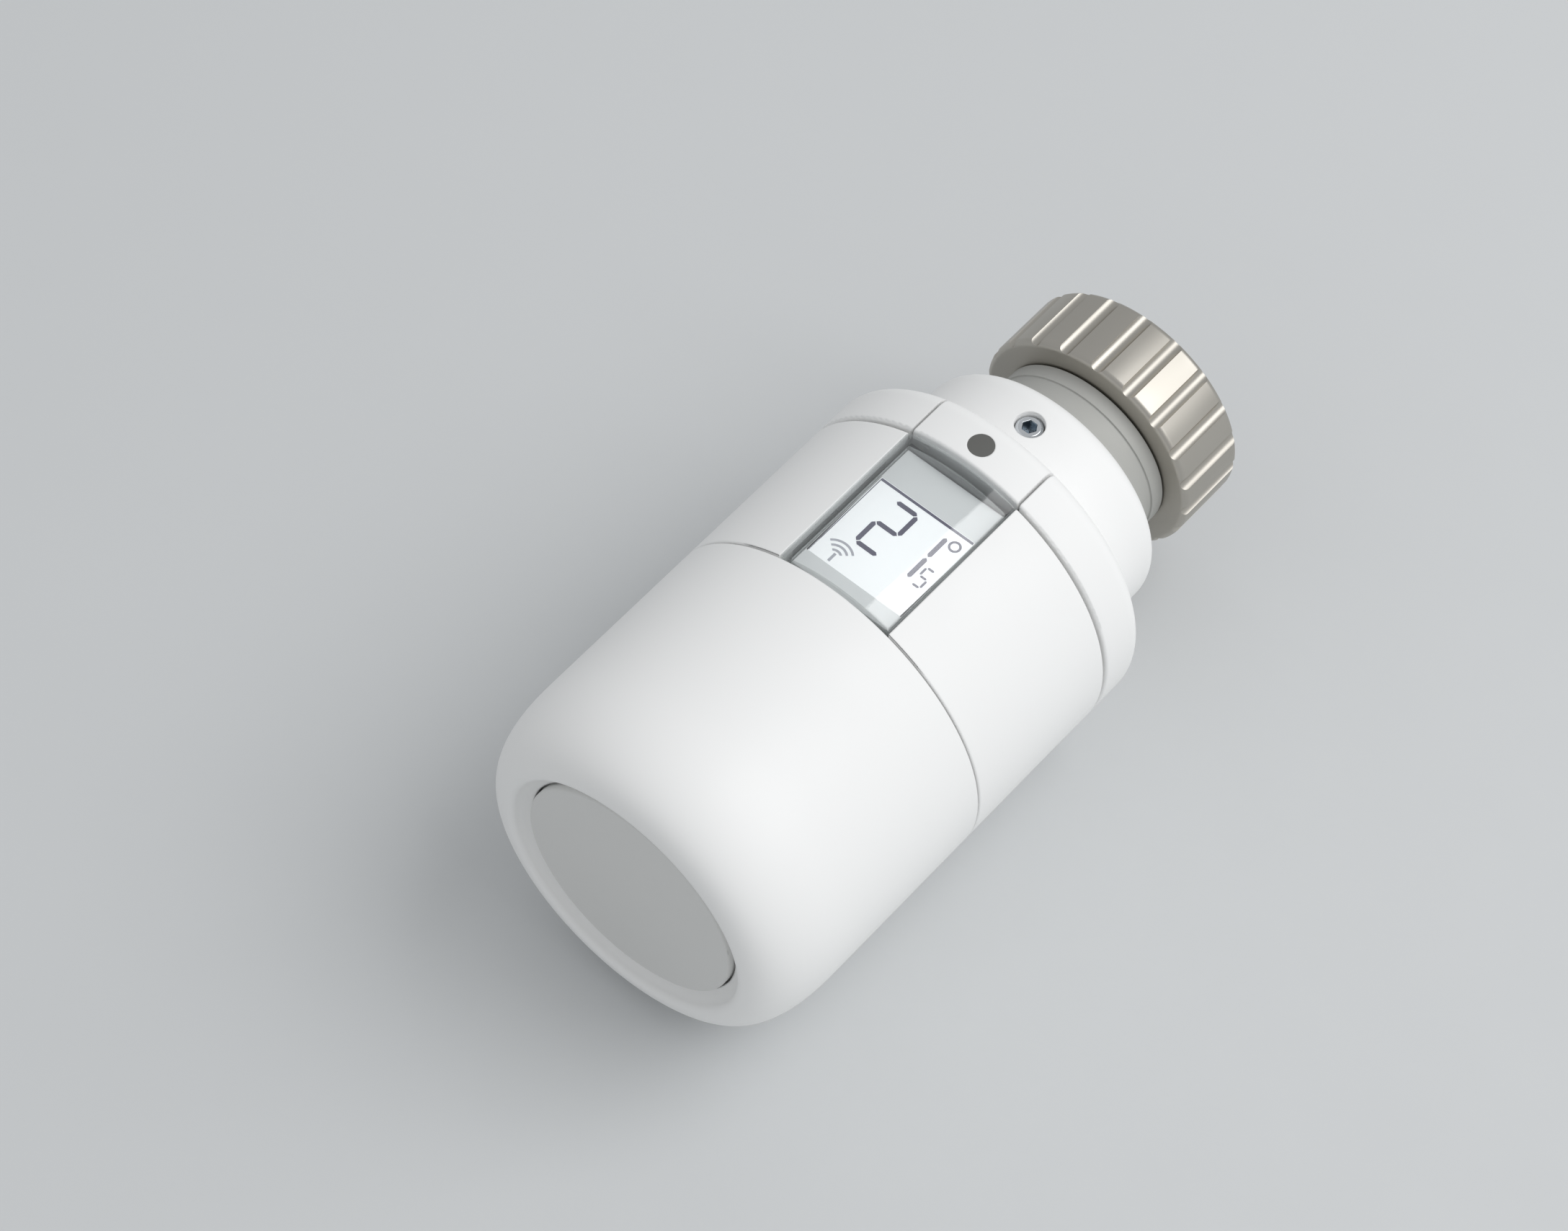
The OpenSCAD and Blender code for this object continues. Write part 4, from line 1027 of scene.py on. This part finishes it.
def cell_meshes(low, high, forward):
    """The can and the wrap of an AA cell between two corners, its nub forward or rearward."""
    x = (low.x + high.x) / 2
    z = (low.z + high.z) / 2
    radius = (high.x - low.x) / 2
    length = high.y - low.y
    can = [
        (0, 0), (2.0, 0.1), (2.55, 0.0), (2.75, 0.2), (2.75, 0.95), (3.3, 1.05), (5.4, 1.1),
        (6.1, 1.25), (6.5, 1.15), (radius - 0.35, 1.3), (radius - 0.12, 1.6), (radius - 0.12, length - 1),
        (radius - 0.5, length - 0.25), (6.2, length - 0.05), (5.3, length), (0, length),
    ]
    wrap = [
        (radius - 0.7, 1.12), (radius - 0.3, 1.05), (radius, 1.5), (radius, length - 0.8),
        (radius - 0.4, length - 0.06), (radius - 0.9, length - 0.02), (radius - 0.9, length - 0.2),
        (radius - 0.2, length - 0.9), (radius - 0.14, 1.6), (radius - 0.7, 1.25),
    ]
    found = []
    for line, slot in ((can, "contact_metal"), (wrap, "cell_wrap")):
        placed = [(r, low.y + y if forward else high.y - y) for r, y in line]
        found.append(turned_mesh(placed, slot, shift=(x, 0, z)))
    return found


class VALVE_OT_cells(bpy.types.Operator):
    """Makes the two AA cells and their contacts"""

    bl_idname = "valve.cells"
    bl_label = "Cells and contacts"

    def execute(self, context):
        for node, forward in (("cell_left", True), ("cell_right", False)):
            low, high = corners(node)
            can, wrap = cell_meshes(low, high, forward)
            stand(node + "_can", can, "head", "contact_metal", node)
            stand(node + "_wrap", wrap, "head", "cell_wrap")
        for node in ("front_contact", "rear_contact_left", "rear_contact_right"):
            soften(node, "head", "contact_metal", 0.08)
        return {"FINISHED"}


class VALVE_OT_drive(bpy.types.Operator):
    """Makes the inner frame, the motor, the gear train and the spindle with its thread"""

    bl_idname = "valve.drive"
    bl_label = "Frame and drive"

    def execute(self, context):
        soften("chassis", "head", "chassis_plastic")
        soften("gear_plate", "head", "chassis_plastic")
        soften("motor_can", "head", "motor_steel", 0.5)
        soften("motor_end_cap", "head", "black_plastic", 0.2)
        soften("motor_shaft", "motor_rotor", "steel", 0.08)
        soften("motor_pinion", "motor_rotor", "brass", 0.04)
        soften("first_gear", "first_gear", "gear_plastic", 0.04)
        soften("second_gear", "second_gear", "gear_plastic", 0.04)
        soften("gear_pins", "head", "steel", 0.1)
        soften("output_gear", "output_gear", "output_plastic", 0.04)
        low, high = corners("spindle")
        # A threaded shaft, and from head on the thicker guide that comes out to the valve's pin
        guide, shaft, pitch, ridge = high.x, 3.0, 1.5, 0.42
        head = high.y - 13.5
        line = [
            (0, low.y), (1.9, low.y), (2.45, low.y + 0.5), (2.45, head), (guide, head),
            (guide, high.y - 1.0), (guide - 0.3, high.y - 0.3), (guide - 1.0, high.y), (0, high.y),
        ]
        rod = turned_mesh(line, "spindle_plastic")
        turns = (head - low.y - 1.2) / pitch
        thread = coil("spindle_plastic", shaft - ridge, ridge, pitch, turns, 40)
        thread.transform(Matrix.Translation((0, (head - 0.5) * MM, 0)) @ LYING)
        stand("spindle_body", joined(rod, thread), "spindle", "spindle_plastic", "spindle")
        return {"FINISHED"}


class VALVE_OT_stage(bpy.types.Operator):
    """Sets the floor, the light and the camera"""

    bl_idname = "valve.stage"
    bl_label = "Stage"

    def execute(self, context):
        scene = context.scene
        side = scene.valve_sizes.floor / 2
        level = CAD_BOX[0][2]
        mesh = bpy.data.meshes.new("floor")
        mesh.from_pydata(
            [(-side, -side, level), (side, -side, level), (side, side, level), (-side, side, level)], [],
            [(0, 1, 2, 3)],
        )
        floor = put_in("floor", mesh)
        # Matt painted board, its grain 3 mm wide
        grained("floor_paint", ink(scene.valve_colours.floor), 0.75, 3.0, 0.02, 0.01)
        mesh.materials.append(finish_of("floor_paint"))
        world = bpy.data.worlds.new("studio")
        world.use_nodes = True
        sky = world.node_tree.nodes["Background"]
        sky.inputs["Color"].default_value = linear("#F4F6F8")
        sky.inputs["Strength"].default_value = 0.58
        scene.world = world
        middle = Vector((0, -0.05, 0))
        lamps = (("key", (0.5, 0.35, 0.79), 1.1, 0.9, 6.4), ("fill", (0.9, 0.1, 0.45), 1.2, 0.8, 0.6))
        for name, way, distance, wide, power in lamps:
            lamp = bpy.data.lights.new(name, "AREA")
            lamp.shape = "SQUARE"
            lamp.size = wide
            lamp.energy = power
            holder = put_in(name, lamp)
            holder.location = middle + Vector(way).normalized() * distance
            holder.rotation_euler = (middle - holder.location).to_track_quat("-Z", "Y").to_euler()
        around, above, roll = (math.radians(a) for a in (37.51, 56.67, 3.46))
        level_way = Vector((math.sin(around), -math.cos(around), 0))
        back = level_way * math.cos(above) + Vector((0, 0, math.sin(above)))
        across = Vector((math.cos(around), math.sin(around), 0))
        upward = back.cross(across)
        right = across * math.cos(roll) + upward * math.sin(roll)
        up = upward * math.cos(roll) - across * math.sin(roll)
        lens = bpy.data.cameras.new("camera")
        lens.lens = 111.46
        lens.sensor_width = 36
        lens.sensor_fit = "HORIZONTAL"
        lens.clip_start = 0.01
        lens.clip_end = 20
        eye = put_in("camera", lens)
        turn = Matrix((right, up, back)).transposed().to_4x4()
        eye.matrix_world = Matrix.Translation((0.2107, -0.34965, 0.5584)) @ turn
        scene.camera = eye
        scene.view_settings.view_transform = "Standard"
        return {"FINISHED"}


STEPS = (
    VALVE_OT_finishes, VALVE_OT_dial, VALVE_OT_button, VALVE_OT_cap, VALVE_OT_collar, VALVE_OT_window,
    VALVE_OT_adapter, VALVE_OT_fasteners, VALVE_OT_electronics, VALVE_OT_cells, VALVE_OT_drive,
    VALVE_OT_stage,
)


class VALVE_PT_pieces(bpy.types.Panel):
    """Lists the pieces of the valve in the sidebar"""

    bl_label = "Radiator valve"
    bl_idname = "VALVE_PT_pieces"
    bl_space_type = "VIEW_3D"
    bl_region_type = "UI"
    bl_category = "Valve"

    def draw(self, context):
        for group in (context.scene.valve_sizes, context.scene.valve_colours):
            box = self.layout.box()
            for name in group.__annotations__:
                box.prop(group, name)
        for step in STEPS:
            self.layout.operator(step.bl_idname)


CLASSES = (ValveSizes, ValveColours, *STEPS, VALVE_PT_pieces)


def register():
    for kind in CLASSES:
        bpy.utils.register_class(kind)
    bpy.types.Scene.valve_sizes = bpy.props.PointerProperty(type=ValveSizes)
    bpy.types.Scene.valve_colours = bpy.props.PointerProperty(type=ValveColours)


def unregister():
    del bpy.types.Scene.valve_colours
    del bpy.types.Scene.valve_sizes
    for kind in reversed(CLASSES):
        bpy.utils.unregister_class(kind)


def main():
    """Registers the add-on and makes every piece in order."""
    register()
    for make in (turning_tree, thread_tree, screw_tree, chip_tree):
        make()
    for step in STEPS:
        group, name = step.bl_idname.split(".")
        getattr(getattr(bpy.ops, group), name)()


if __name__ == "__main__":
    main()
